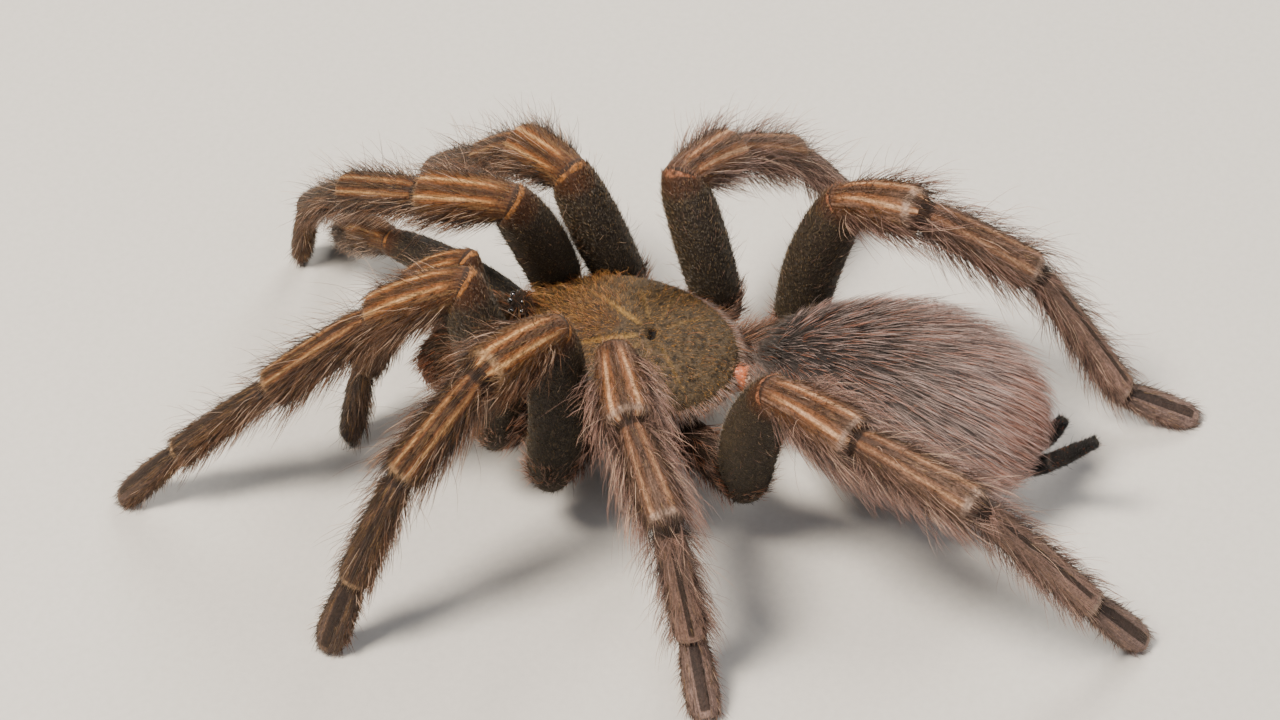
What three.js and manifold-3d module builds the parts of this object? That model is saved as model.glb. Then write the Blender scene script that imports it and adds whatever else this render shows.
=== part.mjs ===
// Large ground tarantula, life size, standing still on its eight feet and two palps.
// Millimetres, +Z up, the floor at z = 0. The head looks along -Y and the animal's left side is +X.
import * as THREE from 'three';
import { mergeVertices } from 'three/addons/utils/BufferGeometryUtils.js';
import Module from 'manifold-3d';

const wasm = await Module();
wasm.setup();

// ---- driving dimensions -------------------------------------------------------------------

const GAP = 0.3; // clearance between neighbouring solids
const CUT = 0.42; // how far a cutter is grown, so that slanting faces keep the gap too
const LIMB_SIDES = 10; // facets round a limb
const BODY_SIDES = 32; // facets round the carapace and abdomen

// Front part of the body, drawn level and then pitched nose-up about the x axis at PITCH_HEIGHT.
const BODY_PITCH = 4.6;
const PITCH_HEIGHT = 12;
const CARAPACE = {
  halfWidth: 14.9, halfLength: 16.4, shift: 0.6, // the broad round shield, a little behind centre
  headHalfWidth: 8.0, headLength: 16.3, headRear: 10, // the squarer head in front of it
  rimZ: 15.1, underZ: 14.0, headTop: 20.4, rearTop: 19.0, headPeakY: -8,
};
const FOVEA = { y: 4.2, halfWidth: 2.0, halfLength: 0.8, depth: 1.3 };
const TUBERCLE = { y: -14.0, z: 19.4, halfWidth: 2.3, halfLength: 1.7, height: 2.2 };
const STERNUM = { halfWidth: 9, halfLength: 11, bottomZ: 6.2, shoulderZ: 9.2, topZ: 13.7 };

// Abdomen: an egg, broadest behind its middle, its rear end a little low.
const ABDOMEN = {
  y: 38.9, z: 14.0, halfLength: 20.0, halfWidth: 15.3, halfHeight: 11.1, pitch: -11, rearSwell: 0.07,
};
const PEDICEL = { startY: 14.5, endY: 22, z: 13.2, halfWidth: 2.4, halfHeight: 2.0 };

// Hips: forward and sideways from the body's centre, and height. Mirrored for the right side.
const HIPS = {
  1: { forward: 12.8, side: 15.3, z: 11.6 },
  2: { forward: 4.2, side: 19.3, z: 9.6 },
  3: { forward: -9.4, side: 18.4, z: 9.2 },
  4: { forward: -21, side: 15.2, z: 8.9 },
  palp: { forward: 17.2, side: 9.7, z: 12.3 },
};
const COXA_ROOT = 0.42; // where a coxa leaves the sternum, as a share of the way out to its hip
const TROCHANTER_LENGTH = { leg: 4.4, palp: 3.2 };

// Lengths of femur, patella, tibia, metatarsus and tarsus. A palp has no metatarsus.
const LENGTHS = {
  1: [24.6, 14.8, 18.3, 17, 11],
  2: [22.9, 14.1, 16.5, 16.8, 10.8],
  3: [21.3, 12.7, 14.5, 18.8, 10.7],
  4: [23.5, 12.9, 18, 24.8, 11],
  palp: [19.8, 11.5, 15.3, 11.4],
};

// Half-widths and half-heights over the coat, in the middle of each segment. The third number is
// how much higher the coat's standing hairs reach on the segment's back.
const GIRTH = {
  leg: { base: [3.1, 3.2, 0], femur: [3.95, 4.15, 0], patella: [3.7, 3.6, 1.8], tibia: [3.5, 3.4, 1.1],
    metatarsus: [2.8, 2.5, 0.2], tarsus: [2.7, 2.0, 0] },
  palp: { base: [2.3, 2.4, 0], femur: [2.8, 3.1, 0], patella: [2.8, 2.8, 0.6], tibia: [2.9, 2.9, 0.4],
    tarsus: [2.4, 2.1, 0] },
};
const FEMUR_BOW = 1.1; // how far the middle of a femur bends towards its back
const JOINT_PINCH = 0.86; // a limb is this much thinner at a joint
const KNEE_FULLNESS = 0.35; // how far a bent joint fills its outer corner, 1 being a sharp mitre
const TIP_HEIGHT = 0.3; // height of a foot's tip above the floor, along its middle line

// Jaws, fangs and spinnerets: centres along each, for the left one, and girths over the coat.
const JAW = {
  path: [[3.15, -14.6, 14.9], [3.2, -18.6, 15.3], [3.25, -22.2, 14], [3.25, -24.8, 10.9], [3.2, -25, 7.9]],
  girths: [[2.5, 3.5], [2.9, 4.0], [2.95, 3.9], [2.7, 3.3], [1.9, 2.3]],
};
const FANG = {
  path: [[3.1, -24.4, 6.7], [3.0, -23.2, 5.0], [2.8, -20.6, 3.8], [2.6, -17.8, 3.7]],
  girths: [[1.1, 1.2], [1.0, 1.1], [0.75, 0.8], [0.28, 0.28]],
};
const SPINNERET = {
  leftPath: [[2.6, 54.5, 6.8], [2.9, 58.3, 8.4], [3.1, 61.9, 11.3], [3.3, 65.4, 14.4]],
  rightPath: [[-2.6, 54.5, 6.8], [-2.9, 57.2, 7.4], [-3.1, 58.8, 9.3], [-3.4, 60.0, 11.3]],
  girths: [[1.5, 1.5], [1.35, 1.35], [1.15, 1.15], [0.75, 0.75]],
};

// Eyes on the mound: bearing from straight ahead, height on the mound, and size, for one side.
const EYES = {
  front_middle: { bearing: 20, height: 38, radius: 0.42 },
  front_side: { bearing: 62, height: 18, radius: 0.44 },
  rear_side: { bearing: 112, height: 24, radius: 0.38 },
  rear_middle: { bearing: 118, height: 58, radius: 0.26 },
};
const EYE_BULGE = 0.7; // height of a bead against its radius
const EYE_CLEARANCE = 0.12; // gap under a bead

// Stance: bearing from straight ahead towards the limb's own side, and elevation, in degrees,
// for each segment but the last. The last segment has a bearing only: it drops to the floor.
const STANCE = {
  left_leg_1: [[0, 83], [0, -32], [21, -35], [19, -37], [22]],
  left_leg_2: [[235, 86], [67, 11], [49, -39], [43, -61], [42]],
  left_leg_3: [[4, 79], [114, -1], [123, -19], [164, -81], [116]],
  left_leg_4: [[133, 68], [155, -3], [158, -6], [204, -52], [203]],
  right_leg_1: [[-75, 65], [16, -16], [29, -25], [40, -41], [26]],
  right_leg_2: [[-27, 72], [44, -16], [45, -40], [47, -36], [48]],
  right_leg_3: [[20, 74], [110, -15], [123, -31], [121, -54], [121]],
  right_leg_4: [[159, 74], [202, 17], [171, -32], [168, -59], [172]],
  left_palp: [[-73, 77], [-10, -39], [22, -60], [57]],
  right_palp: [[10, 15], [42, -27], [60, -35], [80]],
};

// ---- materials ----------------------------------------------------------------------------

const finish = (color, roughness) => new THREE.MeshStandardMaterial({ color, roughness, metalness: 0 });
const FINISH = {
  shield: finish(0x5a4b33, 0.8),
  abdomen: finish(0x7b5147, 0.9),
  underside: finish(0x3a2c22, 0.9),
  femur: finish(0x3f382b, 0.75),
  banded: finish(0x6d4a33, 0.85),
  foot: finish(0x5b463d, 0.85),
  jaw: finish(0x4a3426, 0.85),
  fang: finish(0x120d0c, 0.25),
  eye: finish(0x0b0a0a, 0.08),
  spinneret: finish(0x14110f, 0.7),
};

// ---- closed surfaces and solids -----------------------------------------------------------

const X_AXIS = new THREE.Vector3(1, 0, 0);
const Z_AXIS = new THREE.Vector3(0, 0, 1);

/** Closed surface over a stack of equal rings; each end is a fan to the ring's middle. */
function ringGeometry(rings) {
  const sides = rings[0].length;
  const points = rings.flat();
  const faces = [];
  for (let k = 0; k + 1 < rings.length; k += 1) {
    for (let i = 0; i < sides; i += 1) {
      const j = (i + 1) % sides;
      const [a, b, c, d] = [k * sides + i, k * sides + j, (k + 1) * sides + j, (k + 1) * sides + i];
      faces.push(a, b, c, a, c, d);
    }
  }
  const middle = (ring) => ring.reduce((sum, p) => sum.add(p), new THREE.Vector3()).divideScalar(sides);
  const first = points.push(middle(rings[0])) - 1;
  const last = points.push(middle(rings.at(-1))) - 1;
  const top = (rings.length - 1) * sides;
  for (let i = 0; i < sides; i += 1) {
    const j = (i + 1) % sides;
    faces.push(first, j, i, last, top + i, top + j);
  }
  const geometry = new THREE.BufferGeometry().setFromPoints(points);
  geometry.setIndex(faces);
  return geometry;
}

/** A manifold solid from a closed three.js geometry. */
function solid(geometry) {
  const bare = geometry.clone();
  bare.deleteAttribute('normal');
  bare.deleteAttribute('uv');
  const merged = mergeVertices(bare, 1e-5);
  return new wasm.Manifold(new wasm.Mesh({
    numProp: 3,
    vertProperties: new Float32Array(merged.attributes.position.array),
    triVerts: new Uint32Array(merged.index.array),
  }));
}

/** A three.js geometry from a manifold solid. */
function geometryOf(shape) {
  const mesh = shape.getMesh();
  const geometry = new THREE.BufferGeometry();
  geometry.setAttribute('position', new THREE.BufferAttribute(new Float32Array(mesh.vertProperties), 3));
  geometry.setIndex([...mesh.triVerts]);
  geometry.computeVertexNormals();
  return geometry;
}

/** Turn a geometry drawn level into the body's own pitch. */
function pitched(geometry) {
  geometry.translate(0, 0, -PITCH_HEIGHT);
  geometry.rotateX(-THREE.MathUtils.degToRad(BODY_PITCH));
  geometry.translate(0, 0, PITCH_HEIGHT);
  return geometry;
}

// ---- limbs --------------------------------------------------------------------------------

/** Unit vector for a bearing and an elevation, on the left side (+1) or the right (-1). */
function heading(side, bearing, elevation) {
  const [b, e] = [bearing, elevation].map(THREE.MathUtils.degToRad);
  return new THREE.Vector3(side * Math.sin(b) * Math.cos(e), -Math.cos(b) * Math.cos(e), Math.sin(e));
}

const sideOf = (name) => (name.startsWith('left') ? 1 : -1);
const kindOf = (name) => (name.endsWith('palp') ? 'palp' : Number(name.at(-1)));
const hipOf = (side, hip) => new THREE.Vector3(side * hip.side, -hip.forward, hip.z);

/** The limb's joints: outer end of the coxa, hip, and the end of each segment. */
function limbJoints(name) {
  const side = sideOf(name);
  const kind = kindOf(name);
  const hip = hipOf(side, HIPS[kind]);
  const inward = new THREE.Vector3(-hip.x, -hip.y, 0).normalize();
  const reach = TROCHANTER_LENGTH[kind === 'palp' ? 'palp' : 'leg'];
  const joints = [hip.clone().addScaledVector(inward, reach), hip];
  STANCE[name].forEach(([bearing, elevation], i) => {
    const from = joints.at(-1);
    const length = LENGTHS[kind][i];
    const drop = THREE.MathUtils.radToDeg(Math.asin((TIP_HEIGHT - from.z) / length));
    joints.push(from.clone().addScaledVector(heading(side, bearing, elevation ?? drop), length));
  });
  return joints;
}

/** Direction and dorsal vector of each piece of a limb, carried from the patella both ways. */
function limbFrames(joints) {
  const along = joints.slice(1).map((p, i) => p.clone().sub(joints[i]).normalize());
  const patella = 2;
  const dorsal = [];
  dorsal[patella] = Z_AXIS.clone().projectOnPlane(along[patella]).normalize();
  const carry = (from, to) => {
    const turn = new THREE.Quaternion().setFromUnitVectors(along[from], along[to]);
    dorsal[to] = dorsal[from].clone().applyQuaternion(turn);
  };
  for (let i = patella + 1; i < along.length; i += 1) carry(i - 1, i);
  for (let i = patella - 1; i >= 0; i -= 1) carry(i + 1, i);
  return along.map((direction, i) => ({ direction, dorsal: dorsal[i] }));
}

/** The frame half-way through a joint between two frames, and how far its ring is stretched. */
function jointFrame(before, after) {
  const direction = before.direction.clone().add(after.direction).normalize();
  const turn = new THREE.Quaternion().setFromUnitVectors(before.direction, direction);
  const mitre = 1 / Math.max(before.direction.dot(direction), 0.5);
  return {
    direction,
    dorsal: before.dorsal.clone().applyQuaternion(turn),
    stretch: 1 + KNEE_FULLNESS * (mitre - 1),
  };
}

/** One ring of a limb, higher on its back; what would sink below the floor is flattened onto it. */
function limbRing(centre, frame, [halfWidth, halfHeight, rise = 0], grow) {
  const lateral = frame.dorsal.clone().cross(frame.direction);
  const stretch = frame.stretch ?? 1;
  return Array.from({ length: LIMB_SIDES }, (_, i) => {
    const angle = (2 * Math.PI * (i + 0.5)) / LIMB_SIDES;
    const height = halfHeight + (Math.sin(angle) > 0 ? rise : 0);
    const point = centre.clone()
      .addScaledVector(lateral, (halfWidth + grow) * Math.cos(angle))
      .addScaledVector(frame.dorsal, (height + grow) * stretch * Math.sin(angle));
    point.z = Math.max(point.z, 0);
    return point;
  });
}

const scaled = (girth, k) => girth.map((r) => r * k);

/** Stations along one segment: [share of its length, share of its girth]. */
const STATIONS = {
  femur: [[0.2, 0.9], [0.42, 1.0], [0.66, 1.02], [0.84, 0.97]],
  patella: [[0.27, 1.0], [0.52, 1.03], [0.8, 0.98]],
  tibia: [[0.18, 0.97], [0.5, 1.04], [0.82, 0.98]],
  metatarsus: [[0.14, 1.04], [0.5, 1.03], [0.86, 0.95]],
  tarsus: [[0.2, 1.0], [0.5, 1.06], [0.78, 1.0], [0.94, 0.72], [1.02, 0.36]],
};

/** Rings of one segment, kept on its own side of the planes of the joints at its ends. */
function segmentRings(from, to, frame, type, girth, grow, planes) {
  const slide = (point) => {
    for (const plane of planes) {
      const over = plane.distanceToPoint(point);
      if (over > 0) point.addScaledVector(frame.direction, -over / plane.normal.dot(frame.direction));
    }
    return point;
  };
  const bow = type === 'femur' ? FEMUR_BOW : 0;
  return STATIONS[type].map(([t, k]) => {
    const centre = from.clone().lerp(to, t).addScaledVector(frame.dorsal, bow * Math.sin(Math.PI * t));
    return limbRing(centre, frame, scaled(girth, k), grow).map(slide);
  });
}

/** Every node of one limb, as ring stacks keyed by the node's name. */
function limbPieces(name, grow = 0) {
  const kind = kindOf(name);
  const girths = GIRTH[kind === 'palp' ? 'palp' : 'leg'];
  const joints = limbJoints(name);
  const frames = limbFrames(joints);
  const types = ['base', 'femur', 'patella', 'tibia', ...(kind === 'palp' ? [] : ['metatarsus']), 'tarsus'];
  const girthOf = (i) => girths[types[i]];
  const jointRing = (i, shift) => {
    const frame = jointFrame(frames[i - 1], frames[i]);
    const [before, after] = [girthOf(i - 1), girthOf(i)];
    const [halfWidth, halfHeight] = before.map((r, axis) => Math.min(r, after[axis]) * JOINT_PINCH);
    const girth = i === 1 ? girthOf(0) : [halfWidth, halfHeight, (before[2] + after[2]) / 2];
    const knee = i === 2 ? scaled(girth, 1.1) : girth;
    return limbRing(joints[i].clone().addScaledVector(frame.direction, shift), frame, knee, grow);
  };
  const half = GAP / 2;
  const planeAt = (i, sign) => {
    const normal = jointFrame(frames[i - 1], frames[i]).direction.multiplyScalar(sign);
    const point = joints[i].clone().addScaledVector(normal, -half);
    return new THREE.Plane().setFromNormalAndCoplanarPoint(normal, point);
  };
  const body = (i) => {
    const planes = [planeAt(i, -1), ...(i + 1 < frames.length ? [planeAt(i + 1, 1)] : [])];
    return segmentRings(joints[i], joints[i + 1], frames[i], types[i], girthOf(i), grow, planes);
  };
  const start = joints[0].clone().addScaledVector(frames[0].direction, half);
  const pieces = {
    femur: [limbRing(start, frames[0], girthOf(0), grow), jointRing(1, 0), ...body(1), jointRing(2, -half)],
  };
  if (kind === 'palp') {
    pieces.tibia = [jointRing(2, half), ...body(2), jointRing(3, 0), ...body(3), jointRing(4, -half)];
    pieces.tarsus = [jointRing(4, half), ...body(4)];
  } else {
    pieces.patella = [jointRing(2, half), ...body(2), jointRing(3, -half)];
    pieces.tibia = [jointRing(3, half), ...body(3), jointRing(4, -half)];
    pieces.foot = [jointRing(4, half), ...body(4), jointRing(5, 0), ...body(5)];
  }
  return pieces;
}

/** A coxa, from inside the sternum out to the trochanter. */
function coxaRings(side, hip, girth, reach, grow) {
  const end = hipOf(side, hip);
  const root = new THREE.Vector3(end.x * COXA_ROOT, end.y * COXA_ROOT, (hip.z + STERNUM.shoulderZ) / 2);
  const inward = new THREE.Vector3(-end.x, -end.y, 0).normalize();
  end.addScaledVector(inward, reach + GAP / 2 - 0.8 * grow);
  const direction = end.clone().sub(root).normalize();
  const frame = { direction, dorsal: Z_AXIS.clone().projectOnPlane(direction).normalize() };
  return [[0, 0.9], [0.7, 1.08], [1, 0.98]].map(
    ([t, k]) => limbRing(root.clone().lerp(end, t), frame, scaled(girth, k), grow),
  );
}

// ---- body ---------------------------------------------------------------------------------

/** Distance from the shield's middle to its rim, in the direction `angle` from straight ahead. */
function rimRadius(angle) {
  const c = CARAPACE;
  const [s, f] = [Math.abs(Math.sin(angle)), Math.cos(angle)];
  const round = 1 / Math.hypot(s / c.halfWidth, f / (c.halfLength + (f < 0 ? c.shift : -c.shift)));
  const length = f > 0 ? c.headLength : c.headRear;
  const head = 1 / ((s / c.headHalfWidth) ** 4 + (Math.abs(f) / length) ** 4) ** 0.25;
  return (round ** 12 + head ** 12) ** (1 / 12);
}

/** Height of the shield's crest line at a distance `y` behind its middle. */
function crestHeight(y) {
  const c = CARAPACE;
  const fall = Math.max(0, (y - c.headPeakY) / (c.halfLength - c.headPeakY));
  return c.headTop - (c.headTop - c.rearTop) * fall ** 1.5;
}

/** The shield: rings shrinking from under the rim, over it and up to the crest. */
function carapaceGeometry(grow = 0) {
  const c = CARAPACE;
  const ring = (share, heightAt) => Array.from({ length: BODY_SIDES }, (_, i) => {
    const angle = (2 * Math.PI * i) / BODY_SIDES;
    const radius = rimRadius(angle) * share + grow;
    const [x, y] = [radius * Math.sin(angle), -radius * Math.cos(angle)];
    return new THREE.Vector3(x, y, heightAt(y));
  });
  const rings = [ring(0.5, () => c.underZ - grow), ring(0.93, () => c.underZ - grow)];
  for (const share of [1, 0.95, 0.86, 0.72, 0.55, 0.36, 0.16]) {
    const rise = (1 - share ** 3) ** 0.72;
    rings.push(ring(share, (y) => c.rimZ + (crestHeight(y) - c.rimZ) * rise + grow));
  }
  return ringGeometry(rings);
}

/** The eye mound: a dome on the shield's front. */
function tubercleGeometry() {
  const t = TUBERCLE;
  const dome = new THREE.SphereGeometry(1, 16, 10);
  dome.rotateX(Math.PI / 2);
  dome.scale(t.halfWidth, t.halfLength, t.height);
  dome.translate(0, t.y, t.z);
  return dome;
}

/** The short deep pit in the middle of the shield. */
function foveaGeometry() {
  const pit = new THREE.SphereGeometry(1, 12, 8);
  pit.scale(FOVEA.halfWidth, FOVEA.halfLength, FOVEA.depth);
  pit.translate(0, FOVEA.y, crestHeight(FOVEA.y) + 0.2);
  return pit;
}

function carapaceSolid() {
  return solid(pitched(carapaceGeometry()))
    .add(solid(pitched(tubercleGeometry())))
    .subtract(solid(pitched(foveaGeometry())));
}

/** The sternum and the flesh above it, up to just under the shield. */
function sternumGeometry(grow = 0) {
  const s = STERNUM;
  const levels = [
    [s.bottomZ - grow, 0.55], [s.bottomZ + 1 - grow, 0.85], [s.shoulderZ, 1], [s.topZ + grow, 1.12],
  ];
  return ringGeometry(levels.map(([z, k]) => Array.from({ length: BODY_SIDES / 2 }, (_, i) => {
    const angle = (4 * Math.PI * i) / BODY_SIDES;
    return new THREE.Vector3(
      (s.halfWidth * k + grow) * Math.cos(angle), (s.halfLength * k + grow) * Math.sin(angle), z,
    );
  })));
}

/** Sternum and all the coxae: what carries the limbs, in one piece. */
function undersideSolid(grow = 0) {
  let shape = solid(pitched(sternumGeometry(grow)));
  for (const side of [1, -1]) {
    for (const [kind, hip] of Object.entries(HIPS)) {
      const family = kind === 'palp' ? 'palp' : 'leg';
      const rings = coxaRings(side, hip, GIRTH[family].base, TROCHANTER_LENGTH[family], grow);
      shape = shape.add(solid(ringGeometry(rings)));
    }
  }
  return shape;
}

/** The abdomen, an egg along the body, grown by a clearance when it is used to cut a neighbour. */
function abdomenGeometry(grow = 0) {
  const a = ABDOMEN;
  const egg = new THREE.SphereGeometry(1, BODY_SIDES - 6, 14);
  const position = egg.attributes.position;
  for (let i = 0; i < position.count; i += 1) {
    const along = position.getY(i);
    const swell = 1 + a.rearSwell * along;
    position.setXYZ(
      i,
      position.getX(i) * swell * (a.halfWidth + grow),
      along * (a.halfLength + grow),
      position.getZ(i) * swell * (a.halfHeight + grow),
    );
  }
  egg.rotateX(THREE.MathUtils.degToRad(a.pitch));
  egg.translate(0, a.y, a.z);
  return egg;
}

/** A tapering tube through hand-placed centres; each girth is [half-width, half-height]. */
function taperRings(centres, girths, grow = 0) {
  const path = centres.map((c) => new THREE.Vector3(...c));
  return path.map((centre, i) => {
    const before = path[Math.max(i - 1, 0)];
    const after = path[Math.min(i + 1, path.length - 1)];
    const direction = after.clone().sub(before).normalize();
    const lateral = X_AXIS.clone().projectOnPlane(direction).normalize();
    const frame = { direction, dorsal: direction.clone().cross(lateral) };
    return limbRing(centre, frame, girths[i], grow);
  });
}

const mirrored = (points, side) => points.map(([x, y, z]) => [side * x, y, z]);

/** The narrow waist between the underside and the abdomen. */
function pedicelSolid(cutters) {
  const p = PEDICEL;
  const centres = [[0, p.startY, p.z], [0, (p.startY + p.endY) / 2, p.z], [0, p.endY, p.z]];
  const girth = [p.halfWidth, p.halfHeight];
  return solid(ringGeometry(taperRings(centres, [girth, girth, girth]))).subtract(cutters);
}

/** A jaw: the stout hairy base that hangs in front of the head. */
function cheliceraRings(side) {
  return taperRings(mirrored(JAW.path, side), JAW.girths);
}

/** A fang, folded back under its jaw. */
function fangRings(side) {
  return taperRings(mirrored(FANG.path, side), FANG.girths);
}

/** A three-jointed spinneret, drawn as one tapering finger. */
function spinneretRings(side) {
  return taperRings(side > 0 ? SPINNERET.leftPath : SPINNERET.rightPath, SPINNERET.girths);
}

/** One eye: a bead set on the mound along the mound's own normal. */
function eyeGeometry(side, eye) {
  const t = TUBERCLE;
  const [bearing, height] = [eye.bearing, eye.height].map(THREE.MathUtils.degToRad);
  const unit = new THREE.Vector3(
    side * Math.sin(bearing) * Math.cos(height), -Math.cos(bearing) * Math.cos(height), Math.sin(height),
  );
  const size = new THREE.Vector3(t.halfWidth, t.halfLength, t.height);
  const normal = unit.clone().divide(size).normalize();
  const foot = unit.clone().multiply(size).add(new THREE.Vector3(0, t.y, t.z));
  const profile = Array.from({ length: 4 }, (_, k) => {
    const angle = (Math.PI / 2) * (k / 3);
    return new THREE.Vector2(eye.radius * Math.cos(angle), eye.radius * EYE_BULGE * Math.sin(angle));
  });
  const bead = new THREE.LatheGeometry([new THREE.Vector2(0, 0), ...profile], 8);
  bead.applyQuaternion(new THREE.Quaternion().setFromUnitVectors(new THREE.Vector3(0, 1, 0), normal));
  bead.translate(...foot.addScaledVector(normal, EYE_CLEARANCE));
  return pitched(bead);
}

// ---- the model ----------------------------------------------------------------------------

const group = new THREE.Group();

function addNode(name, shape, material) {
  const mesh = new THREE.Mesh(geometryOf(shape), material);
  mesh.name = name;
  group.add(mesh);
}

// Neighbours grown by the gap, used to cut the solids that reach into them.
const shieldCutter = solid(pitched(carapaceGeometry(CUT)));
const trunkCutter = shieldCutter.add(undersideSolid(GAP));
const abdomenCutter = solid(abdomenGeometry(GAP));

addNode('carapace', carapaceSolid(), FINISH.shield);
addNode('underside', undersideSolid().subtract(shieldCutter), FINISH.underside);
addNode('pedicel', pedicelSolid(trunkCutter.add(abdomenCutter)), FINISH.underside);
addNode('abdomen', solid(abdomenGeometry()), FINISH.abdomen);

for (const [label, side] of [['left', 1], ['right', -1]]) {
  addNode(`${label}_chelicera`, solid(ringGeometry(cheliceraRings(side))).subtract(trunkCutter), FINISH.jaw);
  addNode(`${label}_fang`, solid(ringGeometry(fangRings(side))), FINISH.fang);
  addNode(`${label}_spinneret`, solid(ringGeometry(spinneretRings(side))).subtract(abdomenCutter),
    FINISH.spinneret);
  for (const [place, eye] of Object.entries(EYES)) {
    addNode(`${label}_eye_${place}`, solid(eyeGeometry(side, eye)), FINISH.eye);
  }
}

const LIMB_FINISH = {
  femur: FINISH.femur, patella: FINISH.banded, tibia: FINISH.banded, foot: FINISH.foot, tarsus: FINISH.foot,
};
for (const name of Object.keys(STANCE)) {
  for (const [part, rings] of Object.entries(limbPieces(name))) {
    const shape = solid(ringGeometry(rings));
    addNode(`${name}_${part}`, part === 'femur' ? shape.subtract(trunkCutter) : shape, LIMB_FINISH[part]);
  }
}

// The origin is on the floor, under the middle of the whole animal.
const extent = new THREE.Box3().setFromObject(group);
const middle = extent.getCenter(new THREE.Vector3());
group.position.set(-middle.x, -middle.y, -extent.min.z);

export default group;
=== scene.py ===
"""A large ground tarantula, life size and still: skin, shield, coat, eyes, fangs and a pale studio."""

from __future__ import annotations

import logging
import math
from dataclasses import dataclass, field, replace
from enum import IntEnum

import bmesh
import bpy
import numpy as np
from mathutils import Matrix, Vector
from mathutils.kdtree import KDTree

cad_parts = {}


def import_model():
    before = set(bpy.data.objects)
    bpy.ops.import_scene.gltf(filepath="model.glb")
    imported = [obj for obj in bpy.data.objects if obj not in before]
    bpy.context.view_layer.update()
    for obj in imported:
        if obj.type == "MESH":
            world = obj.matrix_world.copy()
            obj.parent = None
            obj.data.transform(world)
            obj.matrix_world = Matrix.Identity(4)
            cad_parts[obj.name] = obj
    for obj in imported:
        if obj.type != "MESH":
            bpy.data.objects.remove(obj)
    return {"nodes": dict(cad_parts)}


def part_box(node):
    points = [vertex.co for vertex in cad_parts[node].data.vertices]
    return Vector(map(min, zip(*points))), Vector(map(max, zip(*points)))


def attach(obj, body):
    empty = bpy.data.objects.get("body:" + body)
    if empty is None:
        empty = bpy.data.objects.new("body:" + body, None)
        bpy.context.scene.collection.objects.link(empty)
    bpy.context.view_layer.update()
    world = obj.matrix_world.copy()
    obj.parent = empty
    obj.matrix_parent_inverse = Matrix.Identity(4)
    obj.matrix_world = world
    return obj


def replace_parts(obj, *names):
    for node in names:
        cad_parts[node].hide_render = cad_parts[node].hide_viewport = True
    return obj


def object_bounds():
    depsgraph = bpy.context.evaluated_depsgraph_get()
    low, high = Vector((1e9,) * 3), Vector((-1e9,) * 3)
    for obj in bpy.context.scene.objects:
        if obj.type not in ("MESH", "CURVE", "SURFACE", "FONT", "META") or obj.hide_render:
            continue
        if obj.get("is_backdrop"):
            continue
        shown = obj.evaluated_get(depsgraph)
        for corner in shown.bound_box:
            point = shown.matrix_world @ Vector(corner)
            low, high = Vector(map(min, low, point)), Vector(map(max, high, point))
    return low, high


LOG = logging.getLogger("tarantula")

MM = 0.001
BODY = "root"
BAKE_UV = "OFBake"
BAKE_PATCH = 0.003  # width of one hair's own patch on that map
STATION = "station"  # attribute: place along a form, one unit for each segment of a limb
TURN = "turn"  # attribute: 0 along the back, 1 along the underside
TIP = "tip"  # attribute: 0 at a hair's root, 1 at its tip
MARK = "mark"  # attribute: 1 in a furrow of the shield, -1 in its pit
TONE = "tone"  # attribute: how light a hair is, 0 to 1
UPWARD = np.array([0.0, 0.0, 1.0])
SIDES = {"left": 1.0, "right": -1.0}
HIND = "34"  # numbers of the legs that wear the pale coat of the rear, pale partly in their own colour and partly by painted sheen
HARD_NODES = ("carapace", "_fang", "_eye_")  # words in the names of solids that aren't skin
WELD = 1e-8  # points closer than this are one
Span = tuple[float, float, float, float]  # how a mask eases: from, to, result before, result after
Stops = tuple[tuple[float, str], ...]  # station and colour
Array = np.ndarray  # these three shorten the type hints
NodeTree = bpy.types.NodeTree
Socket = bpy.types.NodeSocket

# ---- the animal's own sizes, in millimetres, as in the solids ----

ABDOMEN_Y = 38.9  # middle of the abdomen behind the middle of the shield
BODY_PITCH = math.radians(4.6)  # nose-up pitch of the front body
PITCH_HEIGHT = 12.0  # height of the axis that it turns about
STERNUM_SHOULDER = 9.2  # height of the sternum's shoulder, where the coxae leave it
TIP_HEIGHT = 0.3  # height of a foot's tip over the floor
TROCHANTER = {"leg": 4.4, "palp": 3.2}  # length of the trochanter
COXA_ROOT = 0.42  # where a coxa is rooted, as a share of its hip's distance from the middle

HIPS = {  # forward, sideways, up
    "1": (12.8, 15.3, 11.6),
    "2": (4.2, 19.3, 9.6),
    "3": (-9.4, 18.4, 9.2),
    "4": (-21.0, 15.2, 8.9),
    "palp": (17.2, 9.7, 12.3),
}
LENGTHS = {  # femur, patella, tibia, metatarsus (legs only), tarsus
    "1": (24.6, 14.8, 18.3, 17.0, 11.0),
    "2": (22.9, 14.1, 16.5, 16.8, 10.8),
    "3": (21.3, 12.7, 14.5, 18.8, 10.7),
    "4": (23.5, 12.9, 18.0, 24.8, 11.0),
    "palp": (19.8, 11.5, 15.3, 11.4),
}
ROLL = {  # how far the back of each limb is turned towards the animal's left, in degrees
    "left_leg_1": 22, "left_leg_2": 27, "left_leg_3": 10, "left_leg_4": 20, "left_palp": 20,
    "right_leg_1": 36, "right_leg_2": 36, "right_leg_3": 28, "right_leg_4": 20, "right_palp": 20,
}
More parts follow.
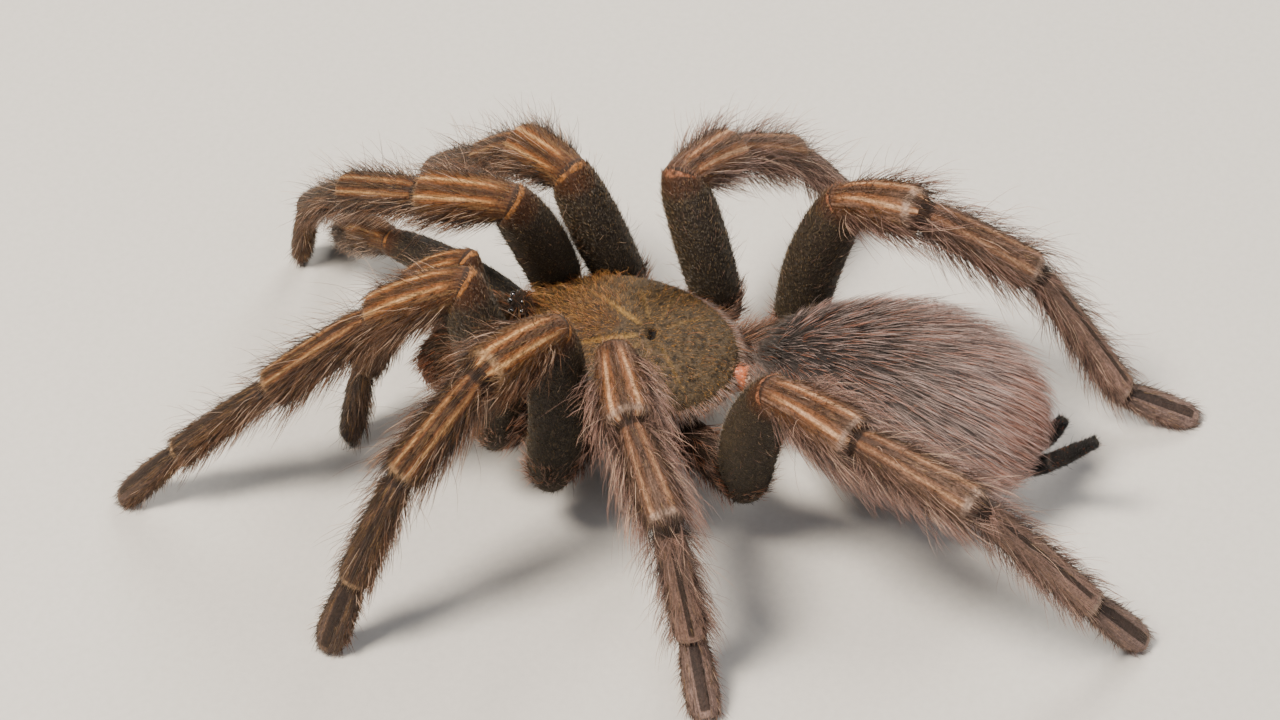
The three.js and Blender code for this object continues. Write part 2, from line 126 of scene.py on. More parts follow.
STANCE = {  # bearing from straight ahead and elevation of each segment; the last one only turns
    "left_leg_1": ((0, 83), (0, -32), (21, -35), (19, -37), (22,)),
    "left_leg_2": ((235, 86), (67, 11), (49, -39), (43, -61), (42,)),
    "left_leg_3": ((4, 79), (114, -1), (123, -19), (164, -81), (116,)),
    "left_leg_4": ((133, 68), (155, -3), (158, -6), (204, -52), (203,)),
    "right_leg_1": ((-75, 65), (16, -16), (29, -25), (40, -41), (26,)),
    "right_leg_2": ((-27, 72), (44, -16), (45, -40), (47, -36), (48,)),
    "right_leg_3": ((20, 74), (110, -15), (123, -31), (121, -54), (121,)),
    "right_leg_4": ((159, 74), (202, 17), (171, -32), (168, -59), (172,)),
    "left_palp": ((-73, 77), (-10, -39), (22, -60), (57,)),
    "right_palp": ((10, 15), (42, -27), (60, -35), (80,)),
}


class Segment(IntEnum):
    """Segments of a limb, in order; the number is also the segment's first station."""

    COXA = 0
    TROCHANTER = 1
    FEMUR = 2
    PATELLA = 3
    TIBIA = 4
    METATARSUS = 5
    TARSUS = 6


STATIONS = len(Segment)

# Half-width and half-height of the flesh in the middle of each segment, under the coat.
FLESH = {
    "leg": {
        Segment.COXA: (2.8, 2.9),
        Segment.TROCHANTER: (2.8, 2.9),
        Segment.FEMUR: (3.6, 3.8),
        Segment.PATELLA: (3.2, 3.05),
        Segment.TIBIA: (2.55, 2.5),
        Segment.METATARSUS: (1.95, 1.85),
        Segment.TARSUS: (1.95, 1.4),
    },
    "palp": {
        Segment.COXA: (2.0, 2.1),
        Segment.TROCHANTER: (2.0, 2.1),
        Segment.FEMUR: (2.45, 2.7),
        Segment.PATELLA: (2.3, 2.3),
        Segment.TIBIA: (2.25, 2.2),
        Segment.TARSUS: (1.85, 1.55),
    },
}
# Share of a segment's length, and of its girth there.
PROFILE = {
    Segment.COXA: ((0.0, 0.85), (0.35, 1.0), (0.8, 1.0)),
    Segment.TROCHANTER: ((0.5, 1.0),),
    Segment.FEMUR: ((0.13, 0.92), (0.3, 0.99), (0.5, 1.02), (0.7, 1.0), (0.87, 0.93), (0.965, 0.82)),
    Segment.PATELLA: ((0.06, 0.83), (0.2, 0.94), (0.45, 1.03), (0.75, 1.07), (0.91, 1.05), (0.97, 0.94)),
    Segment.TIBIA: ((0.04, 0.76), (0.14, 0.92), (0.4, 1.03), (0.7, 1.07), (0.91, 1.06), (0.97, 0.94)),
    Segment.METATARSUS: ((0.04, 0.84), (0.14, 0.98), (0.5, 1.01), (0.84, 1.04), (0.95, 1.0)),
    Segment.TARSUS: ((0.05, 0.88), (0.2, 1.0), (0.5, 1.08), (0.76, 1.04), (0.9, 0.84), (0.97, 0.55)),
}
BOW = {Segment.FEMUR: 1.1, Segment.PATELLA: 0.45, Segment.METATARSUS: 0.2}  # bend towards the back
JOINT_GIRTH = 0.82  # the flesh is this much thinner in a joint
KNEE_FULLNESS = 0.18  # how much taller it is there in a sharp bend
STRIPE_TURN = 0.13  # where the pale stripes of patella and tibia run
BARE_TURN = 0.055  # half-width of the bare line down a metatarsus; a tarsus has twice that


def unit(vectors: Array) -> Array:
    """Return vectors scaled to length 1 along their last axis."""
    return vectors / np.maximum(np.linalg.norm(vectors, axis=-1, keepdims=True), 1e-12)


def around(count: int) -> Array:
    """Return evenly spaced angles round a circle."""
    return 2 * math.pi * np.arange(count) / count


def linear(hex_code: str) -> tuple[float, float, float, float]:
    """Turn an sRGB hex colour into linear light.

    Args:
        hex_code: six digits after a hash.

    Returns:
        Red, green, blue and an alpha of 1.
    """
    values = [int(hex_code[i : i + 2], 16) / 255 for i in (1, 3, 5)]
    red, green, blue = (v / 12.92 if v <= 0.04045 else ((v + 0.055) / 1.055) ** 2.4 for v in values)
    return red, green, blue, 1.0


def add(
    tree: NodeTree, kind: str, inputs: dict | tuple = (), out: int | str = 0, **settings: object
) -> Socket:
    """Add a shader node with its settings and links.

    Args:
        tree: node tree of the material.
        kind: node type after the word ShaderNode.
        inputs: value, hex colour or socket for each input, in order or by name or number.
        out: the output that is wanted.
        settings: node properties; `stops` fills a colour ramp with (position, hex) pairs.

    Returns:
        That output of the new node.
    """
    node = tree.nodes.new(f"ShaderNode{kind}")
    for name, value in settings.items():
        if name == "stops":
            elements = node.color_ramp.elements
            while len(elements) < len(value):
                elements.new(1.0)
            for element, (position, colour) in zip(elements, value):
                element.position = position
                element.color = linear(colour)
        else:
            setattr(node, name, value)
    for key, value in (inputs if isinstance(inputs, dict) else dict(enumerate(inputs))).items():
        if isinstance(value, Socket):
            tree.links.new(value, node.inputs[key])
        else:
            node.inputs[key].default_value = linear(value) if isinstance(value, str) else value
    return node.outputs[out]


def mask(tree: NodeTree, *factors: Socket | tuple) -> Socket:
    """Multiply masks together.

    Args:
        tree: node tree of the material.
        factors: finished masks, or a value and the span in which it eases.

    Returns:
        Their product.
    """
    product = None
    for factor in factors:
        if isinstance(factor, tuple):
            factor = add(tree, "MapRange", factor, interpolation_type="SMOOTHSTEP")
        product = factor if product is None else add(tree, "Math", (product, factor), operation="MULTIPLY")
    return product


def lay(tree: NodeTree, colour: Socket | str, over: str, *factors: Socket | tuple) -> Socket:
    """Lay one colour over another through masks.

    Args:
        tree: node tree of the material.
        colour: the colour underneath.
        over: the colour laid over it.
        factors: the masks, as mask() takes them.

    Returns:
        The mixed colour.
    """
    return add(tree, "Mix", {0: mask(tree, *factors), 6: colour, 7: over}, out=2, data_type="RGBA")


# ---- where everything is ----


@dataclass
class Layout:
    """Turns the animal's own millimetres into the frame's metres."""

    shift: Array = field(default_factory=lambda: np.zeros(3))

    @classmethod
    def from_frame(cls) -> Layout:
        """Find the frame's origin from the abdomen, which lies square on the animal's middle line."""
        low, high = (np.array(corner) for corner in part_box("abdomen"))
        middle = (low + high) / 2
        return cls(np.array([middle[0], middle[1] - ABDOMEN_Y * MM, 0.0]))

    def place(self, points: Array) -> Array:
        """Return points given in the animal's millimetres as metres in the frame."""
        return points * MM + self.shift

    @staticmethod
    def pitched(points: Array) -> Array:
        """Pitch the level front body nose-up about the side-to-side axis.

        Args:
            points: points in the animal's millimetres.

        Returns:
            The turned points.
        """
        c, s = math.cos(BODY_PITCH), math.sin(BODY_PITCH)
        y, z = points[..., 1], points[..., 2] - PITCH_HEIGHT
        return np.stack([points[..., 0], y * c + z * s, PITCH_HEIGHT - y * s + z * c], axis=-1)


def flow_rows(rows: Array, steps: int) -> Array:
    """Run a smooth curve through each column of a stack of rows.

    Args:
        rows: control rows, the first axis running along the form.
        steps: new rows in each gap between control rows.

    Returns:
        The finer stack, which still passes through every control row.
    """
    padded = np.concatenate([2 * rows[:1] - rows[1:2], rows, 2 * rows[-1:] - rows[-2:-1]])
    finer = []
    for k in range(1, len(padded) - 2):
        p0, p1, p2, p3 = padded[k - 1 : k + 3]
        for t in np.arange(steps) / steps:
            finer.append(
                0.5 * (2 * p1 + (p2 - p0) * t + (2 * p0 - 5 * p1 + 4 * p2 - p3) * t**2
                       + (3 * p1 - p0 - 3 * p2 + p3) * t**3)
            )
    finer.append(rows[-1])
    return np.array(finer)


@dataclass(frozen=True)
class Patch:
    """Where one kind of hair grows: a stretch of stations, a range of turns and a slope."""

    first: float = -1.0  # stations
    last: float = 9.0
    top: float = -1.0  # the turn from which it grows, towards the underside
    fade: float = 0.01  # how much turn it takes to grow full
    bottom: float = 2.0
    slope: float = -2.0  # least upward part of the skin's normal

    def weight(self, station: Array, turn: Array, rise: Array) -> Array:
        """Return how thickly the hair grows.

        Args:
            station: station of each cell.
            turn: turn of each cell.
            rise: upward part of each cell's normal.

        Returns:
            The density, 0 to 1.
        """
        inside = (station >= self.first) & (station < self.last) & (turn < self.bottom) & (rise > self.slope)
        return inside * np.clip((turn - self.top) / self.fade, 0, 1)


@dataclass(frozen=True)
class Pile(Patch):
    """The short pile of a limb: thin in the joints, on the pale stripes and on the bare line."""

    bare_from: float = 5.1  # station
    bare_to: float = 0.88  # share of the segment
    notch: float = 0.06  # share of the segment that its joint takes
    notch_turn: float = 0.5
    stripe_half: float = 0.05  # half-width of a stripe's bare heart, in turn
    on_stripe: float = 0.6
    on_bare: float = 0.06

    def weight(self, station: Array, turn: Array, rise: Array) -> Array:
        """Return how thickly the pile grows.

        Args:
            station: station of each cell.
            turn: turn of each cell.
            rise: upward part of each cell's normal.

        Returns:
            The density, 0 to 1.
        """
        share = station % 1
        half = np.where(station > Segment.TARSUS, 2, 1) * BARE_TURN
        bare = (station > self.bare_from) & (turn < half) & (share < self.bare_to)
        between = (station > Segment.TIBIA) & (station < Segment.TARSUS)
        notch = between & (share < self.notch) & (turn < self.notch_turn)
        striped = (station < Segment.METATARSUS) & (station > Segment.PATELLA)
        stripe = striped & (np.abs(turn - STRIPE_TURN) < self.stripe_half)
        thin = np.where(bare | notch, self.on_bare, 1.0) * np.where(stripe, self.on_stripe, 1.0)
        return super().weight(station, turn, rise) * thin


@dataclass
class Roots:
    """Places where hairs grow, with the surface's own directions there."""

    position: Array
    normal: Array
    along: Array
    down: Array  # round the form, away from its back
    station: Array
    turn: Array
    mark: Array
    uv: Array

    def __len__(self) -> int:
        """Return the number of hairs."""
        return len(self.position)


@dataclass
class Form:
    """A closed form: rows of points in metres, each row running once round it."""

    rows: Array
    station: Array
    turn: Array
    mark: Array | None = None

    def marks(self) -> Array:
        """Return the mark at every point, 0 where the form has none."""
        return np.zeros(self.rows.shape[:2]) if self.mark is None else self.mark

    def tangents(self) -> tuple[Array, Array, Array]:
        """Return unit vectors along and across the form and out of it, at every point."""
        along = np.gradient(self.rows, axis=0)
        across = np.roll(self.rows, -1, axis=1) - np.roll(self.rows, 1, axis=1)
        normal = np.cross(across, along)
        return unit(along), unit(across), unit(normal)

    def roots(self, count: int, rng: np.random.Generator, patch: Patch = Patch()) -> Roots:
        """Scatter hair roots evenly by area.

        Args:
            count: number of roots.
            rng: source of the scatter.
            patch: where on the form they grow.

        Returns:
            The roots, with their place on the form's own unwrap.
        """
        rows = self.rows
        along, across, normal = self.tangents()
        following = np.roll(rows, -1, axis=1)
        area = np.linalg.norm(np.cross(rows[1:] - rows[:-1], following[:-1] - rows[:-1]), axis=-1)
        station = np.broadcast_to(self.station[:, None], rows.shape[:2])
        turn = np.broadcast_to(self.turn[None, :], rows.shape[:2])
        area = area * patch.weight(station[:-1], turn[:-1], normal[:-1, :, 2])
        cells = rng.choice(area.size, size=count, p=(area / area.sum()).ravel())
        k, i = np.divmod(cells, area.shape[1])
        u, v = rng.random(count), rng.random(count)
        j = (i + 1) % area.shape[1]

        def blend(grid: Array) -> Array:
            """Read a grid of values at the roots.

            Args:
                grid: a number or vector for each point of the form.

            Returns:
                The value at each root, between the four points round it.
            """
            a, b = (u[:, None], v[:, None]) if grid.ndim == 3 else (u, v)
            low = grid[k, i] * (1 - b) + grid[k, j] * b
            high = grid[k + 1, i] * (1 - b) + grid[k + 1, j] * b
            return low * (1 - a) + high * a

        leftward = np.where(i < area.shape[1] / 2, 1.0, -1.0)[:, None]
        uv = np.stack([(i + v) / area.shape[1], (k + u) / area.shape[0]], axis=1)
        return Roots(blend(rows), unit(blend(normal)), unit(blend(along)), unit(blend(across)) * leftward,
                     blend(station), blend(turn), blend(self.marks()),
                     uv * (1 - 4 * BAKE_PATCH) + 2 * BAKE_PATCH)

    def into(self, bm: bmesh.types.BMesh, slot: int) -> None:
        """Wrap a grid sheet round the form, weld its seam and close its ends.

        Args:
            bm: mesh that receives the form.
            slot: material slot of its faces.
        """
        count, sides = self.rows.shape[:2]
        station = bm.verts.layers.float[STATION]
        turn = bm.verts.layers.float[TURN]
        mark, marks = bm.verts.layers.float[MARK], self.marks()
        sheet = bmesh.ops.create_grid(bm, x_segments=sides, y_segments=count - 1, size=1.0)["verts"]
        for index, vert in enumerate(sheet):
            k, i = divmod(index, sides + 1)
            vert.co = self.rows[k, i % sides]
            vert[station] = self.station[k]
            vert[turn] = self.turn[i % sides]
            vert[mark] = marks[k, i % sides]
        bmesh.ops.remove_doubles(bm, verts=sheet, dist=WELD)
        alive = [vert for vert in sheet if vert.is_valid]
        rim = {edge for vert in alive for edge in vert.link_edges if edge.is_boundary}
        bmesh.ops.holes_fill(bm, edges=list(rim), sides=0)
        faces = {face for vert in alive for face in vert.link_faces}
        for face in faces:
            face.material_index = slot
            face.smooth = True
        bmesh.ops.recalc_face_normals(bm, faces=list(faces))


def from_bmesh(name: str, bm: bmesh.types.BMesh) -> bpy.types.Mesh:
    """Make a mesh from a bmesh, which is freed.

    Args:
        name: name of the mesh.
        bm: the bmesh.

    Returns:
        The mesh.
    """
    mesh = bpy.data.meshes.new(name)
    bm.to_mesh(mesh)
    bm.free()
    return mesh


def add_object(name: str, mesh: bpy.types.Mesh, finishes: tuple[Finish, ...]) -> bpy.types.Object:
    """Put a finished mesh in the scene as a piece of the animal.

    Args:
        name: the piece's name.
        mesh: its mesh, in the frame.
        finishes: its finishes, in slot order; each is made only once.

    Returns:
        The new object, riding on the body.
    """
    for finish in finishes:
        mesh.materials.append(bpy.data.materials.get(finish.name) or finish.make())
    piece = bpy.data.objects.new(name, mesh)
    bpy.context.scene.collection.objects.link(piece)
    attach(piece, BODY)
    LOG.info("%s: %d faces", name, len(mesh.polygons))
    return piece


def wrap(
    name: str, forms: list[tuple[Form, int]], finishes: tuple[Finish, ...]
) -> bpy.types.Object:
    """Wrap forms in one mesh and put it in the scene.

    Args:
        name: the piece's name.
        forms: each form with its material slot.
        finishes: the piece's finishes, in slot order.

    Returns:
        The new object.
    """
    bm = bmesh.new()
    for key in (STATION, TURN, MARK):
        bm.verts.layers.float.new(key)
    for form, index in forms:
        form.into(bm, index)
    return add_object(name, from_bmesh(name, bm), finishes)


def ring_turn(facets: int) -> Array:
    """Return the turn of each point of a ring: 0 on the back, 1 underneath."""
    return 1 - np.abs(1 - 2 * np.arange(facets) / facets)


def taper(layout: Layout, centres: Array, girths: Array, facets: int, steps: int) -> Form:
    """Make a smooth tapering finger through given centres.

    Args:
        layout: places it in the frame.
        centres: middle of each ring, in the animal's millimetres.
        girths: half-width and half-height of each ring.
        facets: points round each ring.
        steps: rows in each gap between two rings.

    Returns:
        The finger; its station runs from 0 to 1.
    """
    direction = unit(np.gradient(centres, axis=0))
    sideways = np.array([1.0, 0.0, 0.0])
    lateral = unit(sideways - direction * (direction @ sideways)[:, None])
    dorsal = np.cross(direction, lateral)
    angle = around(facets)
    rows = (centres[:, None]
            + np.cross(direction, dorsal)[:, None] * (girths[:, :1] * np.sin(angle))[..., None]
            + dorsal[:, None] * (girths[:, 1:] * np.cos(angle))[..., None])
    rows = flow_rows(rows, steps)
    return Form(layout.place(rows), np.linspace(0, 1, len(rows)), ring_turn(facets))


# ---- limbs ----


@dataclass
class Limb:
    """One leg or palp, from inside the underside out to its tip."""

    name: str
    layout: Layout
    facets: int = 28
    steps: int = 4
    floor: float = 0.35  # the lowest that its flesh comes, in millimetres
    clear: float = 0.16  # how far rows keep off a joint's plane, as a share of their distance along
    sharpest: float = 0.5  # least cosine of half a bend that a mitre is worked out for
    steepest: float = 0.3  # least cosine between a segment and a joint's normal

    @property
    def side(self) -> float:
        """Return +1 on the animal's left and -1 on its right."""
        return SIDES[self.name.split("_")[0]]

    @property
    def kind(self) -> str:
        """Return the leg's number, or palp."""
        return self.name.split("_")[-1]

    @property
    def family(self) -> str:
        """Return leg or palp."""
        return "palp" if self.kind == "palp" else "leg"

    @property
    def segments(self) -> list[Segment]:
        """Return the limb's segments in order; a palp has no metatarsus."""
        return [s for s in Segment if s in FLESH[self.family]]

    def joints(self) -> Array:
        """Return the ends of the segments in millimetres, from the coxa's root to the tip."""
        forward, sideways, height = HIPS[self.kind]
        hip = np.array([self.side * sideways, -forward, height])
        inward = unit(np.array([-hip[0], -hip[1], 0.0]))
        coxa_end = hip + inward * TROCHANTER[self.family]
        root = np.array([hip[0] * COXA_ROOT, hip[1] * COXA_ROOT, (height + STERNUM_SHOULDER) / 2])
        points = [root, coxa_end, hip]
        for length, (bearing, *rise) in zip(LENGTHS[self.kind], STANCE[self.name]):
            drop = math.radians(rise[0]) if rise else math.asin((TIP_HEIGHT - points[-1][2]) / length)
            turn = math.radians(bearing)
            step = np.array([self.side * math.sin(turn) * math.cos(drop),
                             -math.cos(turn) * math.cos(drop), math.sin(drop)])
            points.append(points[-1] + step * length)
        return np.array(points)

    def backs(self, directions: Array) -> Array:
        """Carry the back of the patella along the limb, both ways, without twist.

        Args:
            directions: unit direction of each segment.

        Returns:
            Unit vector out of each segment's back.
        """
        home = Segment.PATELLA - Segment.COXA
        backs: dict[int, Vector] = {}
        along = [Vector(d) for d in directions]
        up = Vector(UPWARD)
        back = (up - along[home] * up.dot(along[home])).normalized()
        lateral = along[home].cross(back)
        leftward = math.copysign(math.radians(ROLL[self.name]), lateral.x)
        backs[home] = back * math.cos(leftward) + lateral * math.sin(leftward)
        for i in range(home + 1, len(along)):
            backs[i] = along[i - 1].rotation_difference(along[i]) @ backs[i - 1]
        for i in range(home - 1, -1, -1):
            backs[i] = along[i + 1].rotation_difference(along[i]) @ backs[i + 1]
        return np.array([backs[i] for i in range(len(along))])

    def girth(self, segment: Segment) -> Array:
        """Return the half-width and half-height of a segment's flesh."""
        return np.array(FLESH[self.family][segment])

    def ring(
        self, centre: Array, direction: Array, back: Array, girth: Array
    ) -> Array:
        """Lay one oval row of points round the limb.

        Args:
            centre: middle of the row.
            direction: the limb's direction there.
            back: unit vector out of its back.
            girth: half-width and half-height.

        Returns:
            The points, from the back round by the side.
        """
        angle = around(self.facets)
        lateral = np.cross(direction, back)
        return (centre + np.sin(angle)[:, None] * lateral * girth[0]
                + np.cos(angle)[:, None] * back * girth[1])

    def joint_ring(self, i: int, joint: Array, ways: Array, backs: Array) -> Array:
        """Lay the row in a joint, mitred between its neighbours.

        Args:
            i: number of the segment that begins there.
            joint: middle of the joint.
            ways: direction of each segment.
            backs: back of each segment.

        Returns:
            The row of points.
        """
        bisector = unit(ways[i - 1] + ways[i])
        swing = Vector(ways[i - 1]).rotation_difference(Vector(bisector))
        girth = np.minimum(self.girth(self.segments[i - 1]), self.girth(self.segments[i]))
        if i > Segment.FEMUR:
            mitre = 1 / max(float(ways[i - 1] @ bisector), self.sharpest)
            girth = girth * JOINT_GIRTH * np.array([1.0, 1 + KNEE_FULLNESS * (mitre - 1)])
        return self.ring(joint, bisector, np.array(swing @ Vector(backs[i - 1])), girth)

    def form(self) -> Form:
        """Return the limb's flesh as one form; its station counts segments from the coxa."""
        joints = self.joints()
        ways = unit(np.diff(joints, axis=0))
        backs = self.backs(ways)
        rows, stations = [], []
        for i, segment in enumerate(self.segments):
            if i:
                rows.append(self.joint_ring(i, joints[i], ways, backs))
                stations.append(float(segment))
            length = float(np.linalg.norm(joints[i + 1] - joints[i]))
            for share, k in PROFILE[segment]:
                rise = BOW.get(segment, 0.0) * math.sin(math.pi * share)
                centre = joints[i] + (joints[i + 1] - joints[i]) * share + backs[i] * rise
                row = self.ring(centre, ways[i], backs[i], self.girth(segment) * k)
                if i:
                    row = self.kept(row, joints[i], unit(ways[i - 1] + ways[i]), ways[i], share * length)
                if i + 1 < len(ways):
                    row = self.kept(row, joints[i + 1], -unit(ways[i] + ways[i + 1]), -ways[i],
                                    (1 - share) * length)
                rows.append(row)
                stations.append(segment + share)
        rows = flow_rows(np.array(rows), self.steps)
        rows[..., 2] = np.maximum(rows[..., 2], self.floor)
        coarse = np.arange(len(stations))
        fine = np.linspace(0, len(stations) - 1, len(rows))
        return Form(self.layout.place(rows), np.interp(fine, coarse, stations), ring_turn(self.facets))

    def kept(
        self, row: Array, joint: Array, normal: Array, way: Array, reach: float
    ) -> Array:
        """Slide a row's points along the limb until they are past a joint's plane.

        Args:
            row: the points.
            joint: middle of the joint.
            normal: normal of the joint's plane, towards the row.
            way: direction along the segment, towards the row.
            reach: distance of the row from the joint.

        Returns:
            The row, a little further off the plane the further it is along the limb.
        """
        short = np.maximum(self.clear * reach - (row - joint) @ normal, 0.0)
        return row + way * (short / max(float(normal @ way), self.steepest))[:, None]


# ---- body ----


@dataclass
class Abdomen:
    """The egg-shaped abdomen, broadest behind its middle and carried tail-low."""

    layout: Layout
    y: float = ABDOMEN_Y
    z: float = 14.0
    half_length: float = 19.2
    half_width: float = 14.2
    half_height: float = 10.2
    pitch: float = math.radians(-11)
    swell: float = 0.07  # how much fuller it is behind its middle
    pole: float = 0.985  # share of the way to its ends that the rows reach
    rows: int = 90
    facets: int = 96

    def form(self) -> Form:
        """Return the abdomen's flesh; its station runs from 0 in front to 1 behind."""
        polar = np.linspace(-self.pole, self.pole, self.rows) * math.pi / 2
        angle = around(self.facets)
        along, ring = np.sin(polar)[:, None], np.cos(polar)[:, None]
        swell = 1 + self.swell * along
        x = ring * np.sin(angle) * swell * self.half_width
        y = np.broadcast_to(along * self.half_length, x.shape)
        z = ring * np.cos(angle) * swell * self.half_height
        c, s = math.cos(self.pitch), math.sin(self.pitch)
        rows = np.stack([x, self.y + y * c - z * s, self.z + y * s + z * c], axis=-1)
        return Form(self.layout.place(rows), (np.sin(polar) + 1) / 2, ring_turn(self.facets))


@dataclass
class Shield:
    """The carapace: a broad round plate behind a squarer head, with the eye mound in front."""

    layout: Layout
    half_width: float = 14.7
    half_length: float = 16.2
    shift: float = 0.6  # how far behind the middle the round plate lies
    head_half_width: float = 7.8
    head_length: float = 16.1
    head_rear: float = 10.0
    rim_z: float = 15.1
    under_z: float = 14.1
    head_top: float = 20.1  # heights of the middle line
    rear_top: float = 18.7
    head_peak_y: float = -8.0
    head_square: int = 4  # power of the head's rounded square
    corner: int = 12  # how squarely the head meets the round plate
    crest_bow: float = 1.5  # how late the middle line falls
    dome: tuple[int, float] = (3, 0.72)  # powers of the plate's rise from its rim
    pit_y: float = 4.2
    pit_half_width: float = 1.25
    pit_half_length: float = 0.58
    pit_depth: float = 1.2
    furrow_depth: float = 0.42
    furrow_width: float = 0.5
    # bearing from the pit in degrees, strength
    furrows: tuple = ((30.0, 1.0), (66.0, 0.45), (96.0, 0.35), (130.0, 0.45))
    furrow_start: tuple[float, float] = (1.2, 2.0)  # distance from the pit, and over which it deepens
    furrow_end: tuple[float, float] = (13.0, 5.0)  # distance from the pit, and over which it runs out
    relief_rise: float = 1.6  # how soon above the rim furrows and pit are at their full depth
    under_shares: tuple[float, ...] = (0.5, 0.93, 0.985)  # rows under the plate, as shares of its rim
    lip: float = 0.3  # how much higher than the others the last of them is
    rows: int = 64
    crowding: float = 1.15  # how much closer the rows lie at the rim
    crown: float = 0.97  # how far in from the rim the rows reach
    mound_y: float = -14.0
    mound_z: float = 19.3
    mound_size: tuple[float, float, float] = (2.1, 1.55, 2.0)
    mound_span: tuple[float, float] = (-0.5, 0.97)  # from the equator, as shares of the way to the pole
    mound_rows: int = 26
    mound_facets: int = 40
    mound_station: float = 0.9  # the mound takes its marks as from here
    facets: int = 220

    def rim(self, angle: Array) -> Array:
        """Return the distance of the rim from the middle.

        Args:
            angle: bearing from straight ahead.

        Returns:
            The distance in millimetres.
        """
        s, f = np.abs(np.sin(angle)), np.cos(angle)
        round_ = 1 / np.hypot(s / self.half_width,
                              f / (self.half_length + np.where(f < 0, self.shift, -self.shift)))
        length = np.where(f > 0, self.head_length, self.head_rear)
        power = self.head_square
        head = 1 / ((s / self.head_half_width) ** power + (np.abs(f) / length) ** power) ** (1 / power)
        return (round_**self.corner + head**self.corner) ** (1 / self.corner)

    def crest(self, y: Array) -> Array:
        """Return the height of the middle line."""
        fall = np.maximum(0, (y - self.head_peak_y) / (self.half_length - self.head_peak_y))
        return self.head_top - (self.head_top - self.rear_top) * fall**self.crest_bow

    def relief(self, x: Array, y: Array) -> tuple[Array, Array]:
        """Find the furrows that run out from the pit in the middle.

        Args:
            x: sideways places, in millimetres.
            y: places behind the middle, in millimetres.

        Returns:
            How deep each place is in a furrow and in the pit, from 0 to 1.
        """
        behind = y - self.pit_y
        bearing = np.degrees(np.arctan2(np.abs(x), -behind))
        reach = np.hypot(x, behind)
        (start, deepen), (end, run_out) = self.furrow_start, self.furrow_end
        depth = np.zeros_like(x)
        for furrow, strength in self.furrows:
            off = reach * np.abs(np.sin(np.radians(bearing - furrow)))
            ahead = (np.cos(np.radians(bearing - furrow)) > 0) * strength
            fade = np.clip((reach - start) / deepen, 0, 1) * np.clip((end - reach) / run_out, 0, 1)
            depth = np.maximum(depth, ahead * fade * np.exp(-((off / self.furrow_width) ** 2)))
        pit = np.exp(-((x / self.pit_half_width) ** 4) - (behind / self.pit_half_length) ** 2)
        return depth, pit

    def form(self) -> Form:
        """Return the plate: rows run from under it, round its rim and up to its crest."""
        angle = around(self.facets)
        inward = np.linspace(0, 1, self.rows) ** self.crowding * self.crown
        shares = np.concatenate([self.under_shares, 1 - inward])
        last_under = len(self.under_shares) - 1
        rows, marks = [], []
        for k, share in enumerate(shares):
            radius = self.rim(angle) * share
            x, y = radius * np.sin(angle), -radius * np.cos(angle)
            furrow, pit = self.relief(x, y)
            if k <= last_under:
                z = np.full_like(x, self.under_z + (self.lip if k == last_under else 0.0))
            else:
                rise = (1 - share ** self.dome[0]) ** self.dome[1]
                depth = min(rise * self.relief_rise, 1)
                sunk = (furrow * self.furrow_depth + pit * self.pit_depth) * depth
                z = self.rim_z + (self.crest(y) - self.rim_z) * rise - sunk
            rows.append(np.stack([x, y, z], axis=-1))
            marks.append(furrow - 2 * pit)
        placed = self.layout.place(self.layout.pitched(np.array(rows)))
        return Form(placed, shares, ring_turn(self.facets), np.clip(marks, -1, 1))

    def mound(self) -> Form:
        """Return the eye mound, a low dome sunk into the head."""
        polar = np.linspace(*self.mound_span, self.mound_rows) * math.pi / 2
        angle = around(self.mound_facets)
        ring, height = np.cos(polar)[:, None], np.sin(polar)[:, None]
        width, length, tall = self.mound_size
        x = ring * np.sin(angle) * width
        y = self.mound_y - ring * np.cos(angle) * length
        z = np.broadcast_to(self.mound_z + height * tall, x.shape)
        rows = self.layout.pitched(np.stack([x, y, z], axis=-1))
        station = np.full(len(polar), self.mound_station)
        return Form(self.layout.place(rows), station, ring_turn(self.mound_facets))


@dataclass
class Underside:
    """The sternum with the flesh over it, and the narrow waist behind."""

    layout: Layout
    half_width: float = 8.7
    half_length: float = 10.7
    # height, and share of the width and length there
    levels: tuple[tuple[float, float], ...] = ((6.5, 0.3), (6.7, 0.62), (7.6, 0.88), (9.4, 1.0), (13.4, 1.1))
    facets: int = 72
    steps: int = 5
    waist_facets: int = 28
    waist_path: tuple = ((0, 13.0, 13.1), (0, 15.5, 13.1), (0, 18.5, 13.2), (0, 22.4, 13.3))
    waist_girths: tuple = ((2.3, 1.8), (2.0, 1.7), (1.8, 1.55), (2.1, 1.8))

    def form(self) -> Form:
        """Return the sternum, rising from its flat middle to under the shield."""
        angle = around(self.facets)
        rows = np.array([
            np.stack([-self.half_width * k * np.sin(angle), self.half_length * k * np.cos(angle),
                      np.full_like(angle, z)], axis=-1)
            for z, k in self.levels
        ])
        rows = flow_rows(self.layout.pitched(rows), self.steps)
        return Form(self.layout.place(rows), np.linspace(0, 1, len(rows)), ring_turn(self.facets))

    def waist(self) -> Form:
        """Return the waist between the two halves of the body."""
        path, girths = np.array(self.waist_path, dtype=float), np.array(self.waist_girths)
        return taper(self.layout, path, girths, self.waist_facets, self.steps)


